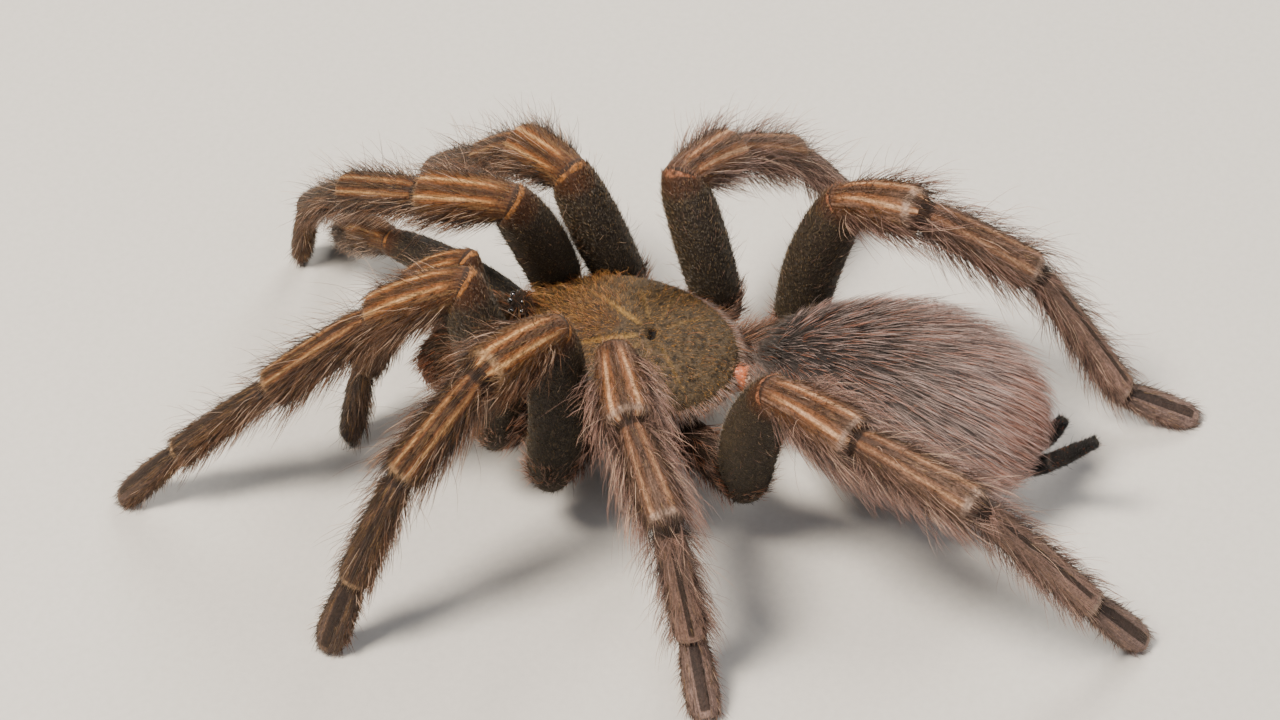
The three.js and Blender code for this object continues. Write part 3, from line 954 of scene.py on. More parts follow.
@dataclass
class Fingers:
    """Jaws, fangs and spinnerets: tapering fingers through given middles."""

    layout: Layout
    jaw_path: tuple = ((3.15, -13.6, 14.7), (3.2, -18.6, 15.1), (3.25, -22.2, 13.8), (3.25, -24.5, 10.9),
                       (3.2, -24.7, 8.4))
    jaw_girths: tuple = ((2.3, 3.2), (2.6, 3.5), (2.55, 3.4), (2.3, 2.8), (1.5, 1.8))
    fang_path: tuple = ((3.15, -24.5, 8.0), (3.1, -24.4, 6.7), (3.0, -23.2, 5.0), (2.8, -20.6, 3.8),
                        (2.6, -17.8, 3.7))
    fang_girths: tuple = ((1.1, 1.2), (1.1, 1.2), (0.95, 1.05), (0.62, 0.66), (0.1, 0.1))
    left_spinneret: tuple = ((2.6, 54.5, 6.8), (2.9, 58.3, 8.4), (3.1, 61.9, 11.3), (3.3, 65.2, 14.2))
    right_spinneret: tuple = ((-2.6, 54.5, 6.8), (-2.9, 57.2, 7.4), (-3.1, 58.8, 9.3), (-3.4, 59.9, 11.1))
    spinneret_girths: tuple = ((1.25, 1.25), (1.15, 1.15), (1.0, 1.0), (0.72, 0.72))
    jaw_facets: int = 32
    fang_facets: int = 24
    spinneret_facets: int = 28
    steps: int = 7

    def finger(self, path: tuple, girths: tuple, facets: int, side: float = 1.0) -> Form:
        """Make one finger.

        Args:
            path: middles of its rings.
            girths: half-width and half-height of each ring.
            facets: points round it.
            side: 1 for the left, -1 for its mirror on the right.

        Returns:
            The finger.
        """
        centres = np.array(path, dtype=float) * np.array([side, 1.0, 1.0])
        return taper(self.layout, centres, np.array(girths, dtype=float), facets, self.steps)

    def jaws(self) -> list[Form]:
        """Return the two stout bases that hang in front of the head."""
        shape = (self.jaw_path, self.jaw_girths, self.jaw_facets)
        return [self.finger(*shape, side) for side in SIDES.values()]

    def fangs(self) -> list[Form]:
        """Return the two fangs folded back under the jaws."""
        shape = (self.fang_path, self.fang_girths, self.fang_facets)
        return [self.finger(*shape, side) for side in SIDES.values()]

    def spinnerets(self) -> list[Form]:
        """Return the two long spinnerets; the right one is held shorter."""
        paths = (self.left_spinneret, self.right_spinneret)
        return [self.finger(path, self.spinneret_girths, self.spinneret_facets) for path in paths]


@dataclass
class Eyes:
    """Eight small glassy beads on the mound in front of the shield."""

    shield: Shield
    # bearing and height in degrees, radius in millimetres
    places: tuple = ((20, 38, 0.44), (62, 18, 0.46), (112, 24, 0.40), (118, 58, 0.28))
    rise: float = 0.16  # how far a bead's middle stands off the mound
    segments: int = 24
    bands: int = 16

    def mesh(self) -> bmesh.types.BMesh:
        """Return all the beads in one mesh."""
        bm = bmesh.new()
        size = np.array(self.shield.mound_size)
        layout = self.shield.layout
        for side in SIDES.values():
            for bearing, height, radius in self.places:
                b, h = math.radians(bearing), math.radians(height)
                way = np.array([side * math.sin(b) * math.cos(h), -math.cos(b) * math.cos(h), math.sin(h)])
                normal = unit(way / size)
                spot = way * size + [0, self.shield.mound_y, self.shield.mound_z] + normal * self.rise
                place = layout.place(layout.pitched(spot))
                bead = bmesh.ops.create_uvsphere(
                    bm, u_segments=self.segments, v_segments=self.bands, radius=radius * MM
                )
                bmesh.ops.translate(bm, verts=bead["verts"], vec=Vector(place))
        for face in bm.faces:
            face.smooth = True
        return bm


# ---- coat ----


@dataclass(frozen=True)
class Hair:
    """How one kind of hair grows: sizes in millimetres, angles in degrees."""

    length: float
    width: float
    lift: float  # angle at which it leaves the skin
    settle: float = 0.7  # share of that angle gone by its tip
    stray: float = 12.0  # sideways spread
    bends: int = 1  # straight pieces along it
    wave: float = 0.0  # sideways wave
    spread: float = 0.25  # spread of its length
    slot: int = 0  # material slot
    forward: float = 1.0  # how far it lies along the form
    aside: float = 0.0  # how far it lies round the form, away from its back
    droop: float = 0.0  # how far its own weight draws it down
    clump: float = 0.0  # how far its tip is drawn to its lock
    lock: int = 10  # hairs in a lock


@dataclass(frozen=True)
class Growth:
    """One kind of hair on a form: how many, where, and how its length changes with station."""

    count: int
    hair: Hair
    patch: Patch = Patch()
    reach: tuple[tuple[float, float], ...] = ((0.0, 1.0),)  # station and factor on the length


@dataclass
class Coat:
    """Solid three-sided hairs, gathered into one mesh."""

    seed: int  # seed of its scatter
    fields: int = 1  # number of forms it covers, each with its own strip of the bake map
    sunk: float = 0.08  # how deep a root lies in the skin, in millimetres
    floor: float = 0.04  # the lowest that a hair comes, in millimetres
    slimming: float = 0.6  # share of its width that a hair loses before its point
    easing: float = 1.5  # how late along a hair its slimming and its pull to the lock come
    shortest: float = 0.35  # least and greatest share of the usual length
    longest: float = 1.8
    swirl: tuple[float, float] = (23.0, 31.0)  # waves in the lie of the coat, along and round the form
    ripple: tuple[float, float] = (67.0, 1.3)  # finer waves round it, and where they start
    swirl_share: float = 0.6
    ripple_share: float = 0.4
    common: float = 0.55  # share of a hair's sideways spread that it has in common with its neighbours
    own: float = 0.75  # share that is its own
    lift_spread: float = 0.3
    waves: float = 1.3  # waves along one hair

    def __post_init__(self) -> None:
        """Start the empty coat."""
        self.rng = np.random.default_rng(self.seed)
        self.parts: list[dict[str, Array]] = []

    def cover(self, form: Form, growths: tuple[Growth, ...], strip: int) -> None:
        """Cover a form with several kinds of hair.

        Args:
            form: the form.
            growths: the kinds of hair.
            strip: which strip of the bake map holds the form.
        """
        for growth in growths:
            roots = form.roots(growth.count, self.rng, growth.patch)
            stations, factors = zip(*growth.reach)
            self.grow(roots, growth.hair, strip, np.interp(roots.station, stations, factors))

    def strands(self, roots: Roots, hair: Hair, scale: Array) -> Array:
        """Work out the line of every hair.

        Args:
            roots: where they grow.
            hair: how they grow.
            scale: factor on each hair's length.

        Returns:
            The points along each hair, the first axis running from root to tip.
        """
        count, rng, steps = len(roots), self.rng, hair.bends
        flank = np.clip(roots.turn * 4, 0, 1)[:, None]
        lie = roots.along * hair.forward + roots.down * flank * hair.aside
        lie = unit(lie - roots.normal * np.sum(lie * roots.normal, axis=1, keepdims=True))
        side = np.cross(roots.normal, lie)
        swirl = np.sin(roots.station * self.swirl[0] + roots.turn * self.swirl[1])
        ripple = np.sin(roots.turn * self.ripple[0] + self.ripple[1])
        drift = swirl * self.swirl_share + ripple * self.ripple_share
        yaw = np.radians(hair.stray) * (self.common * drift + self.own * rng.normal(size=count))
        lift = np.radians(hair.lift) * (1 + self.lift_spread * rng.normal(size=count))
        share = np.clip(1 + hair.spread * rng.normal(size=count), self.shortest, self.longest)
        length = hair.length * MM * share * scale
        phase = rng.random(count) * 2 * math.pi
        points = [roots.position - roots.normal * self.sunk * MM]
        for step in range(steps):
            s = step / steps
            tilt = lift * (1 - hair.settle * s)
            weave = np.sin(2 * math.pi * self.waves * s + phase)
            swing = yaw * (0.6 + 0.4 * s) + math.radians(hair.wave) * weave
            way = (np.cos(tilt) * np.cos(swing))[:, None] * lie
            way = way + (np.cos(tilt) * np.sin(swing))[:, None] * side
            way = way + np.sin(tilt)[:, None] * roots.normal - UPWARD * hair.droop * s
            points.append(points[-1] + unit(way) * (length / steps)[:, None])
        line = np.array(points)
        if hair.clump:
            heads = rng.choice(count, size=max(count // hair.lock, 1), replace=False)
            near = KDTree(len(heads))
            for index, head in enumerate(heads):
                near.insert(roots.position[head], index)
            near.balance()
            chosen = heads[[near.find(spot)[1] for spot in roots.position]]
            pull = hair.clump * (np.arange(steps + 1) / steps) ** self.easing
            line = line + (line[:, chosen] - line) * pull[:, None, None]
        return line

    def grow(self, roots: Roots, hair: Hair, strip: int, scale: Array) -> None:
        """Grow hairs of one kind as solid tapering strands.

        Args:
            roots: where they grow.
            hair: how they grow.
            strip: which strip of the bake map holds their form.
            scale: factor on each hair's length.
        """
        count, rng, steps = len(roots), self.rng, hair.bends
        line = self.strands(roots, hair, scale)
        ways = unit(np.diff(line, axis=0))
        spin = rng.random(count) * 2 * math.pi
        rings, tips = [], []
        for step in range(steps):
            s = step / steps
            radius = 0.5 * hair.width * MM * (1 - self.slimming * s**self.easing)
            first = unit(np.cross(ways[step], roots.normal) + 1e-9)
            second = np.cross(ways[step], first)
            for corner in range(3):
                angle = spin + corner * 2 * math.pi / 3
                offset = np.cos(angle)[:, None] * first + np.sin(angle)[:, None] * second
                rings.append((line[step] + offset * radius)[:, None])
                tips.append(np.full((count, 1), s))
        rings.append(line[-1][:, None])
        tips.append(np.ones((count, 1)))
        verts = np.concatenate(rings, axis=1)
        verts[..., 2] = np.maximum(verts[..., 2], self.floor * MM)
        per = verts.shape[1]
        corner_u = np.array([[0.0, 1.0, -1.0] * steps + [0.0]]) * BAKE_PATCH / 2
        run_v = (np.concatenate(tips, axis=1) - 0.5) * BAKE_PATCH
        u = (roots.uv[:, :1] + strip) / self.fields
        faces, sides, last = [(0, 2, 1)], ((0, 1), (1, 2), (2, 0)), 3 * (steps - 1)
        for low in range(0, last, 3):
            for a, b in sides:
                faces += [(low + a, low + b, low + b + 3), (low + a, low + b + 3, low + a + 3)]
        faces += [(last + a, last + b, per - 1) for a, b in sides]
        even = {STATION: roots.station, TURN: roots.turn, MARK: roots.mark, TONE: rng.random(count)}
        self.parts.append({
            "verts": verts.reshape(-1, 3),
            "faces": (np.array(faces)[None] + (np.arange(count) * per)[:, None, None]).reshape(-1, 3),
            "slot": np.full(count * len(faces), hair.slot),
            "uv": np.stack([u + corner_u, roots.uv[:, 1:] + run_v], axis=-1).reshape(-1, 2),
            TIP: np.concatenate(tips, axis=1).ravel(),
            **{key: np.repeat(values, per) for key, values in even.items()},
        })

    def joined(self, key: str) -> Array:
        """Return one array for all the hairs."""
        return np.concatenate([part[key] for part in self.parts])

    def mesh(self, name: str) -> bpy.types.Mesh:
        """Join all the hairs into one mesh with its bake map and attributes.

        Args:
            name: name of the mesh.

        Returns:
            The mesh.
        """
        offset, faces = 0, []
        for part in self.parts:
            faces.append(part["faces"] + offset)
            offset += len(part["verts"])
        corners = np.concatenate(faces).ravel()
        mesh = bpy.data.meshes.new(name)
        mesh.vertices.add(offset)
        mesh.vertices.foreach_set("co", self.joined("verts").astype(np.float32).ravel())
        mesh.loops.add(len(corners))
        mesh.loops.foreach_set("vertex_index", corners.astype(np.int32))
        mesh.polygons.add(len(corners) // 3)
        mesh.polygons.foreach_set("loop_start", np.arange(0, len(corners), 3, dtype=np.int32))
        mesh.polygons.foreach_set("material_index", self.joined("slot").astype(np.int32))
        mesh.polygons.foreach_set("use_smooth", np.ones(len(corners) // 3, dtype=bool))
        for key in (STATION, TURN, MARK, TIP, TONE):
            attribute = mesh.attributes.new(key, "FLOAT", "POINT")
            attribute.data.foreach_set("value", self.joined(key).astype(np.float32))
        bake = mesh.uv_layers.new(name=BAKE_UV)
        bake.data.foreach_set("uv", self.joined("uv")[corners].astype(np.float32).ravel())
        mesh.update(calc_edges=True)
        mesh.validate()
        return mesh


# ---- finishes ----


@dataclass(frozen=True)
class LimbSpans:
    """Where each marking of a limb eases in or out."""

    outer: Span = (2.98, 3.02, 0.0, 1.0)  # station: beyond the knee
    flank: Span = (0.3, 0.6, 0.0, 0.6)  # turn
    streak: Span = (0.48, 0.66, 0.0, 0.55)  # noise
    fleck: Span = (0.52, 0.68, 0.0, 0.4)  # noise
    fleck_end: Span = (2.9, 3.0, 1.0, 0.15)  # station
    stripe_start: Span = (3.012, 3.1, 0.0, 1.0)  # station
    stripe_end: Span = (4.93, 4.98, 1.0, 0.0)  # station
    between: Span = (0.03, 0.09, 0.6, 0.0)  # turn
    stripe: Span = (0.015, 0.11, 0.95, 0.0)  # turn from the stripe's middle
    heart: Span = (-0.005, 0.05, 1.0, 0.0)  # turn from the stripe's middle
    heart_reach: Span = (0.03, 0.55, 0.3, 1.0)  # share of the segment
    bare_half: Span = (5.9, 6.1, BARE_TURN, 2 * BARE_TURN)  # station
    bare_start: Span = (5.08, 5.2, 0.0, 0.85)  # station
    bare_end: Span = (0.86, 0.9, 1.0, 0.0)  # share of the segment
    rim_start: Span = (0.91, 0.955, 0.0, 1.0)  # share of the segment
    rim_end: Span = (0.972, 0.985, 1.0, 0.0)  # share of the segment
    rim_near: Span = (0.04, 0.24, 0.8, 0.2)  # turn from the stripe's middle
    rim_foot: Span = (6.0, 6.05, 1.0, 0.2)  # station
    joint: Span = (0.035, 0.08, 0.9, 0.0)  # share of the segment
    joint_start: Span = (3.9, 4.0, 0.0, 1.0)  # station
    joint_top: Span = (0.4, 0.55, 1.0, 0.3)  # turn
    knee: Span = (0.003, 0.012, 0.75, 0.0)  # stations from the middle of the knee's furrow
    collar: Span = (0.7, 1.4, 1.0, 0.0)  # half-widths from the middle of the collar
    collar_lump: Span = (0.36, 0.58, 0.2, 1.0)  # noise
    collar_top: Span = (0.25, 0.5, 1.0, 0.0)  # turn


@dataclass(frozen=True)
class LimbMarkings:
    """Colours along and round a limb, the same on its cuticle and on the pile that covers it."""

    base: Stops
    flank: str
    stripe: str = "#925525"
    cream: str = "#ddb27a"
    between: str = "#3a210f"
    streak: str = "#8a6640"  # fine light lines in the lie of the coat
    spread: float = 0.0  # how far the stripes part towards the far end
    patella: float = 0.92  # strength of the stripes on the patella
    tibia: float = 0.5  # strength of the stripes beyond it
    beyond: tuple[float, float] = (3.93, 4.12)  # stations between which the one turns into the other
    rim: str = "#b3906a"
    collar: str = "#a96f3a"
    bald: str = "#241812"
    furrow: str = "#24150c"
    fleck: str = "#6f6044"
    fleck_mm: float = 0.3
    cloud_mm: float = 0.8  # lumps of the knee's collar
    across: float = 22.0  # noise cells to a unit of turn, so that lines are about 0.4 mm apart
    down: float = 1.7  # noise cells to a segment
    ragged: float = 0.1  # how far a stripe's edge wanders, in turn
    knee: float = 3.008  # station of the knee's furrow
    collar_at: float = 2.996  # station of the collar
    collar_half: float = 0.003  # its half-width on the back
    collar_flare: float = 0.014  # how much wider it is underneath
    spans: LimbSpans = LimbSpans()

    def colour(self, tree: NodeTree) -> Socket:
        """Build the markings.

        Args:
            tree: node tree of the material.

        Returns:
            The colour.
        """
        ease = self.spans
        station, turn = (add(tree, "Attribute", out="Fac", attribute_name=key) for key in (STATION, TURN))
        place = add(tree, "TexCoord", out="Object")
        share = add(tree, "Math", (station,), operation="FRACT")
        scaled = add(tree, "Math", (station, float(STATIONS)), operation="DIVIDE")
        colour = add(tree, "ValToRGB", (scaled,), stops=[(s / STATIONS, c) for s, c in self.base])
        outer = mask(tree, (station, *ease.outer))

        # lighter flanks and fine streaks beyond the knee, golden flecks in the velvet before it
        colour = lay(tree, colour, self.flank, (turn, *ease.flank), outer)
        across = add(tree, "Math", (turn, self.across), operation="MULTIPLY")
        down = add(tree, "Math", (station, self.down), operation="MULTIPLY")
        grain = add(tree, "CombineXYZ", (across, down))
        lines = add(tree, "TexNoise", {"Vector": grain, "Scale": 1.0, "Detail": 2.0})
        colour = lay(tree, colour, self.streak, (lines, *ease.streak), outer)
        speck = add(tree, "TexNoise", {"Vector": place, "Scale": 1 / (self.fleck_mm * MM), "Detail": 2.0})
        colour = lay(tree, colour, self.fleck, (speck, *ease.fleck), (station, *ease.fleck_end))

        # two soft stripes down patella and tibia, orange with a cream heart, and dark between them
        parted = add(tree, "Math", (share, 2.0), operation="POWER")
        parted = add(tree, "Math", (parted, self.spread, STRIPE_TURN), operation="MULTIPLY_ADD")
        off = add(tree, "Math", (turn, parted), operation="SUBTRACT")
        off = add(tree, "Math", (off,), operation="ABSOLUTE")
        ragged = add(tree, "Math", (lines, self.ragged, -self.ragged / 2), operation="MULTIPLY_ADD")
        ragged = add(tree, "Math", (off, ragged), operation="ADD")
        strength = (station, *self.beyond, self.patella, self.tibia)
        banded = mask(tree, (station, *ease.stripe_start), (station, *ease.stripe_end), strength)
        colour = lay(tree, colour, self.between, (turn, *ease.between), banded)
        colour = lay(tree, colour, self.stripe, (ragged, *ease.stripe), banded)
        colour = lay(tree, colour, self.cream, (ragged, *ease.heart), (share, *ease.heart_reach), banded)

        # a dark bare line down the back of metatarsus and tarsus
        half = mask(tree, (station, *ease.bare_half))
        bare = add(tree, "Math", (turn, half), operation="LESS_THAN")
        colour = lay(tree, colour, self.bald, bare, (station, *ease.bare_start), (share, *ease.bare_end))

        # a thin pale rim at the far end of each outer segment, palest where the stripes meet it
        colour = lay(tree, colour, self.rim, (share, *ease.rim_start), (share, *ease.rim_end),
                     (off, *ease.rim_near), (station, *ease.rim_foot), outer)

        # dark skin in the joints, and the knee's broken golden collar with a furrow beyond it
        colour = lay(tree, colour, self.furrow, (share, *ease.joint), (station, *ease.joint_start),
                     (turn, *ease.joint_top))
        knee = add(tree, "Math", (station, self.knee), operation="SUBTRACT")
        knee = add(tree, "Math", (knee,), operation="ABSOLUTE")
        colour = lay(tree, colour, self.furrow, (knee, *ease.knee))
        cloud = add(tree, "TexNoise", {"Vector": place, "Scale": 1 / (self.cloud_mm * MM), "Detail": 2.0})
        half = add(tree, "Math", (turn, self.collar_flare, self.collar_half), operation="MULTIPLY_ADD")
        collar = add(tree, "Math", (station, self.collar_at), operation="SUBTRACT")
        collar = add(tree, "Math", (collar,), operation="ABSOLUTE")
        collar = add(tree, "Math", (collar, half), operation="DIVIDE")
        return lay(tree, colour, self.collar, (collar, *ease.collar), (cloud, *ease.collar_lump),
                   (turn, *ease.collar_top))


@dataclass(frozen=True)
class BodyMarkings:
    """Colours of a part of the body, from its station and from soft blotches."""

    stops: Stops
    blotch: str = "#2b211b"
    blotch_share: float = 0.35
    blotch_mm: float = 3.0
    furrow: str = ""
    furrow_share: float = 0.35
    blotch_noise: tuple[float, float] = (0.45, 0.7)
    furrow_marks: tuple[float, float] = (0.12, 0.8)
    # colour of the painted shade in the shield's pit
    pit: str = "#15100d"
    low: str = ""  # colour towards the underside
    low_span: Span = (0.15, 0.5, 0.0, 0.8)  # turn
    pit_shade_span: Span = (-0.95, -0.6, 1.0, 0.0)  # mark: where the painted shade of the pit comes in

    @classmethod
    def plain(cls, colour: str) -> BodyMarkings:
        """Return markings of one colour with soft blotches."""
        return cls(((0.0, colour), (1.0, colour)))

    def colour(self, tree: NodeTree) -> Socket:
        """Build the markings.

        Args:
            tree: node tree of the material.

        Returns:
            The colour.
        """
        station = add(tree, "Attribute", out="Fac", attribute_name=STATION)
        colour = add(tree, "ValToRGB", (station,), stops=self.stops)
        if self.low:
            turn = add(tree, "Attribute", out="Fac", attribute_name=TURN)
            colour = lay(tree, colour, self.low, (turn, *self.low_span))
        place = add(tree, "TexCoord", out="Object")
        cloud = add(tree, "TexNoise", {"Vector": place, "Scale": 1 / (self.blotch_mm * MM), "Detail": 3.0})
        colour = lay(tree, colour, self.blotch, (cloud, *self.blotch_noise, 0.0, self.blotch_share))
        if not self.furrow:
            return colour
        mark = add(tree, "Attribute", out="Fac", attribute_name=MARK)
        colour = lay(tree, colour, self.furrow, (mark, *self.furrow_marks, 0.0, self.furrow_share))
        # painted shade darkens the pit of the shield
        return lay(tree, colour, self.pit, (mark, *self.pit_shade_span))


@dataclass(frozen=True)
class Finish:
    """What every surface has: a name and a shader."""

    name: str

    def surface(self, tree: NodeTree) -> dict:
        """Build the nodes of the surface.

        Args:
            tree: node tree of the material.

        Returns:
            A value, hex colour or socket for each of the shader's inputs that it sets.
        """
        raise NotImplementedError

    def make(self) -> bpy.types.Material:
        """Return the material."""
        material = bpy.data.materials.new(self.name)
        material.use_nodes = True
        tree = material.node_tree
        tree.nodes.clear()
        shader = add(tree, "BsdfPrincipled", self.surface(tree), out="BSDF")
        tree.links.new(shader, tree.nodes.new("ShaderNodeOutputMaterial").inputs["Surface"])
        return material


@dataclass(frozen=True)
class Hide(Finish):
    """Grown leathery cuticle under a coat: dull, with a fine pile drawn as a speckled grain, with painted
    shade in its valleys and painted light on its tufts.
    """

    markings: LimbMarkings | BodyMarkings
    roughness: float = 0.62
    grain_mm: float = 0.35  # width of one tuft of the finest pile
    grain_depth: float = 0.25
    dark: float = 0.5  # painted shade: light left in the valleys between tufts
    lit: float = 1.25  # painted light on their tops
    tufts: tuple[float, float] = (0.3, 0.75)  # noise
    fineness: float = 0.65
    bump: float = 0.8
    specular: float = 0.3
    sheen: float = 0.12  # a dusty bloom on the pile
    sheen_roughness: float = 0.4
    sheen_tint: str = "#a08455"

    def surface(self, tree: NodeTree) -> dict:
        """Build the nodes of the cuticle.

        Args:
            tree: node tree of the material.

        Returns:
            The shader's inputs.
        """
        colour = self.markings.colour(tree)
        place = add(tree, "TexCoord", out="Object")
        speck = add(tree, "TexNoise", {"Vector": place, "Scale": 1 / (self.grain_mm * MM), "Detail": 4.0,
                                       "Roughness": self.fineness})
        # painted shade and painted light: the grain's valleys darken the colour and its tufts lighten it
        light = mask(tree, (speck, *self.tufts, self.dark, self.lit))
        colour = add(tree, "Mix", {0: 1.0, 6: colour, 7: light}, out=2, data_type="RGBA",
                     blend_type="MULTIPLY")
        bump = add(tree, "Bump", {"Height": speck, "Strength": self.bump, "Distance": self.grain_depth * MM})
        return {"Base Color": colour, "Normal": bump, "Roughness": self.roughness,
                "Specular IOR Level": self.specular, "Sheen Weight": self.sheen,
                "Sheen Roughness": self.sheen_roughness, "Sheen Tint": self.sheen_tint}


@dataclass(frozen=True)
class HairFinish(Finish):
    """Chitin bristle: a smooth hair grown to a point, dark at its root and paler at its tip."""

    markings: LimbMarkings | BodyMarkings
    tip: str = "#b08a76"
    tip_share: float = 0.4
    tip_from: float = 0.1
    tip_to: float = 0.9
    deepest: float = 0.6
    lightest: float = 1.35
    odd: str = "#a5603c"  # colour of the odd hair among them
    odd_share: float = 0.1
    odd_strength: float = 0.6
    odd_tones: tuple[float, float] = (0.96, 0.98)  # less the share
    roughness: float = 0.45
    ior: float = 1.55  # chitin

    def surface(self, tree: NodeTree) -> dict:
        """Build the nodes of the hair.

        Args:
            tree: node tree of the material.

        Returns:
            The shader's inputs.
        """
        colour = self.markings.colour(tree)
        along, tone = (add(tree, "Attribute", out="Fac", attribute_name=key) for key in (TIP, TONE))
        colour = lay(tree, colour, self.tip, (along, self.tip_from, self.tip_to, 0.0, self.tip_share))
        low, high = (end - self.odd_share for end in self.odd_tones)
        colour = lay(tree, colour, self.odd, (tone, low, high, 0.0, self.odd_strength))
        light = add(tree, "MapRange", (tone, 0.0, 1.0, self.deepest, self.lightest))
        colour = add(tree, "Mix", {0: 1.0, 6: colour, 7: light}, out=2, data_type="RGBA",
                     blend_type="MULTIPLY")
        return {"Base Color": colour, "Roughness": self.roughness, "IOR": self.ior}


@dataclass(frozen=True)
class Polished(Finish):
    """Bare hard cuticle, grown smooth and glossy, with a faint glow of colour inside."""

    colour: str
    glow: str
    roughness: float
    coat: float
    coat_ior: float = 1.5
    ior: float = 1.56  # hard chitin
    cloud_mm: float = 0.5
    cloud_span: Span = (0.4, 0.7, 0.0, 0.6)  # noise
    bump: float = 0.1
    bump_mm: float = 0.05

    def surface(self, tree: NodeTree) -> dict:
        """Build the nodes of the polished cuticle.

        Args:
            tree: node tree of the material.

        Returns:
            The shader's inputs.
        """
        place = add(tree, "TexCoord", out="Object")
        cloud = add(tree, "TexNoise", {"Vector": place, "Scale": 1 / (self.cloud_mm * MM), "Detail": 2.0})
        colour = lay(tree, self.colour, self.glow, (cloud, *self.cloud_span))
        bump = add(tree, "Bump", {"Height": cloud, "Strength": self.bump, "Distance": self.bump_mm * MM})
        return {"Base Color": colour, "Normal": bump, "Roughness": self.roughness, "IOR": self.ior,
                "Coat Weight": self.coat, "Coat IOR": self.coat_ior}


@dataclass(frozen=True)
class Paper(Finish):
    """Matt backdrop paper, pressed with a faint tooth, so that it throws no reflection."""

    name: str = "backdrop_paper"
    shade: str = "#d2cec7"
    colour: str = "#d8d4cd"
    roughness: float = 0.9
    teeth_per_mm: float = 0.9
    tooth_noise: tuple[float, float] = (0.3, 0.7)

    def surface(self, tree: NodeTree) -> dict:
        """Build the nodes of the paper.

        Args:
            tree: node tree of the material.

        Returns:
            The shader's inputs.
        """
        place = add(tree, "TexCoord", out="Object")
        tooth = add(tree, "TexNoise", {"Vector": place, "Scale": self.teeth_per_mm / MM, "Detail": 3.0})
        share = add(tree, "MapRange", (tooth, *self.tooth_noise))
        return {"Base Color": lay(tree, self.shade, self.colour, share), "Roughness": self.roughness}


# ---- the studio ----


@dataclass
class Studio:
    """Pale floor, soft lights and the camera."""

    layout: Layout
    target: tuple = (-6.63, 0.93, 8.0)  # what the camera looks at, in the animal's millimetres
    distance: float = 499.0
    bearing: float = math.radians(106.86)  # from straight ahead of the animal
    elevation: float = math.radians(40.64)
    roll: float = math.radians(-2.9)
    lens: float = 102.4
    sensor: float = 36.0
    clip: tuple[float, float] = (0.01, 20.0)
    floor_half: float = 6.0  # metres
    sky: str = "#e9ecf0"
    daylight: float = 0.22
    # name, place and side in metres, power in watts, colour
    lamps: tuple = (
        ("key", (0.3, -0.3, 0.8), 0.26, 15.5, "#fff4e6"),
        ("fill", (0.5, 0.6, 0.45), 0.6, 3.0, "#f2f5ff"),
        ("rim", (-0.7, 0.1, 0.5), 0.35, 7.0, "#fffaf2"),
    )

    def camera(self) -> None:
        """Place the camera above the animal's left side, a little behind square."""
        a, e = self.bearing, self.elevation
        back = Vector((math.sin(a) * math.cos(e), -math.cos(a) * math.cos(e), math.sin(e)))
        right = Vector((math.cos(a), math.sin(a), 0.0))
        up = back.cross(right)
        right, up = (right * math.cos(self.roll) + up * math.sin(self.roll),
                     up * math.cos(self.roll) - right * math.sin(self.roll))
        data = bpy.data.cameras.new("camera")
        data.lens = self.lens
        data.sensor_width = self.sensor
        data.clip_start, data.clip_end = self.clip
        camera = bpy.data.objects.new("camera", data)
        spot = Vector(self.layout.place(np.array(self.target) + np.array(back) * self.distance))
        turn = Matrix((right, up, back)).transposed().to_4x4()
        camera.matrix_world = Matrix.Translation(spot) @ turn
        bpy.context.scene.collection.objects.link(camera)
        bpy.context.scene.camera = camera

    def light(self, name: str, spot: tuple, size: float, power: float, colour: str) -> None:
        """Hang a soft square light that faces the animal.

        Args:
            name: name of the light.
            spot: its place, in metres.
            size: its side, in metres.
            power: its power, in watts.
            colour: its colour.
        """
        data = bpy.data.lights.new(name, "AREA")
        data.size = size
        data.energy = power
        data.color = linear(colour)[:3]
        lamp = bpy.data.objects.new(name, data)
        lamp.location = spot
        lamp.rotation_euler = Vector(spot).to_track_quat("Z", "Y").to_euler()
        bpy.context.scene.collection.objects.link(lamp)

    def build(self) -> None:
        """Place the camera, lay the floor and hang the lights."""
        self.camera()
        bm = bmesh.new()
        bmesh.ops.create_grid(bm, x_segments=1, y_segments=1, size=self.floor_half)
        mesh = from_bmesh("floor", bm)
        mesh.materials.append(Paper().make())
        floor = bpy.data.objects.new("floor", mesh)
        bpy.context.scene.collection.objects.link(floor)
        floor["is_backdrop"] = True
        for lamp in self.lamps:
            self.light(*lamp)
        world = bpy.data.worlds.new("room")
        world.use_nodes = True
        room = world.node_tree.nodes["Background"]
        room.inputs["Color"].default_value = linear(self.sky)
        room.inputs["Strength"].default_value = self.daylight
        bpy.context.scene.world = world


# ---- markings and coats ----


class Skin(IntEnum):
    """Material slots of the skin."""

    FRONT_LIMB = 0
    REAR_LIMB = 1
    PALP = 2
    ABDOMEN = 3
    JAW = 4
    UNDERSIDE = 5
    WAIST = 6
    SPINNERET = 7


class Legwear(IntEnum):
    """Material slots of a limb's coat."""

    PILE = 0
    LONG = 1
    HIP = 2


class Shieldwear(IntEnum):
    """Material slots of the shield's coat."""

    VELVET = 0
    BRISTLE = 1
    FRINGE = 2
    MOUND = 3


class Smallwear(IntEnum):
    """Material slots of the coat of the small parts."""

    JAW = 0
    UNDERSIDE = 1
    SPINNERET = 2
    JAW_FRINGE = 3
    WAIST = 4


class Seed(IntEnum):
    """Seeds of the coats' scatter; each leg takes the next one."""

    DOWN = 11
    LONG = 12
    SHIELD = 21
    SMALL_PARTS = 31
    LEGS = 40
    PALPS = 90


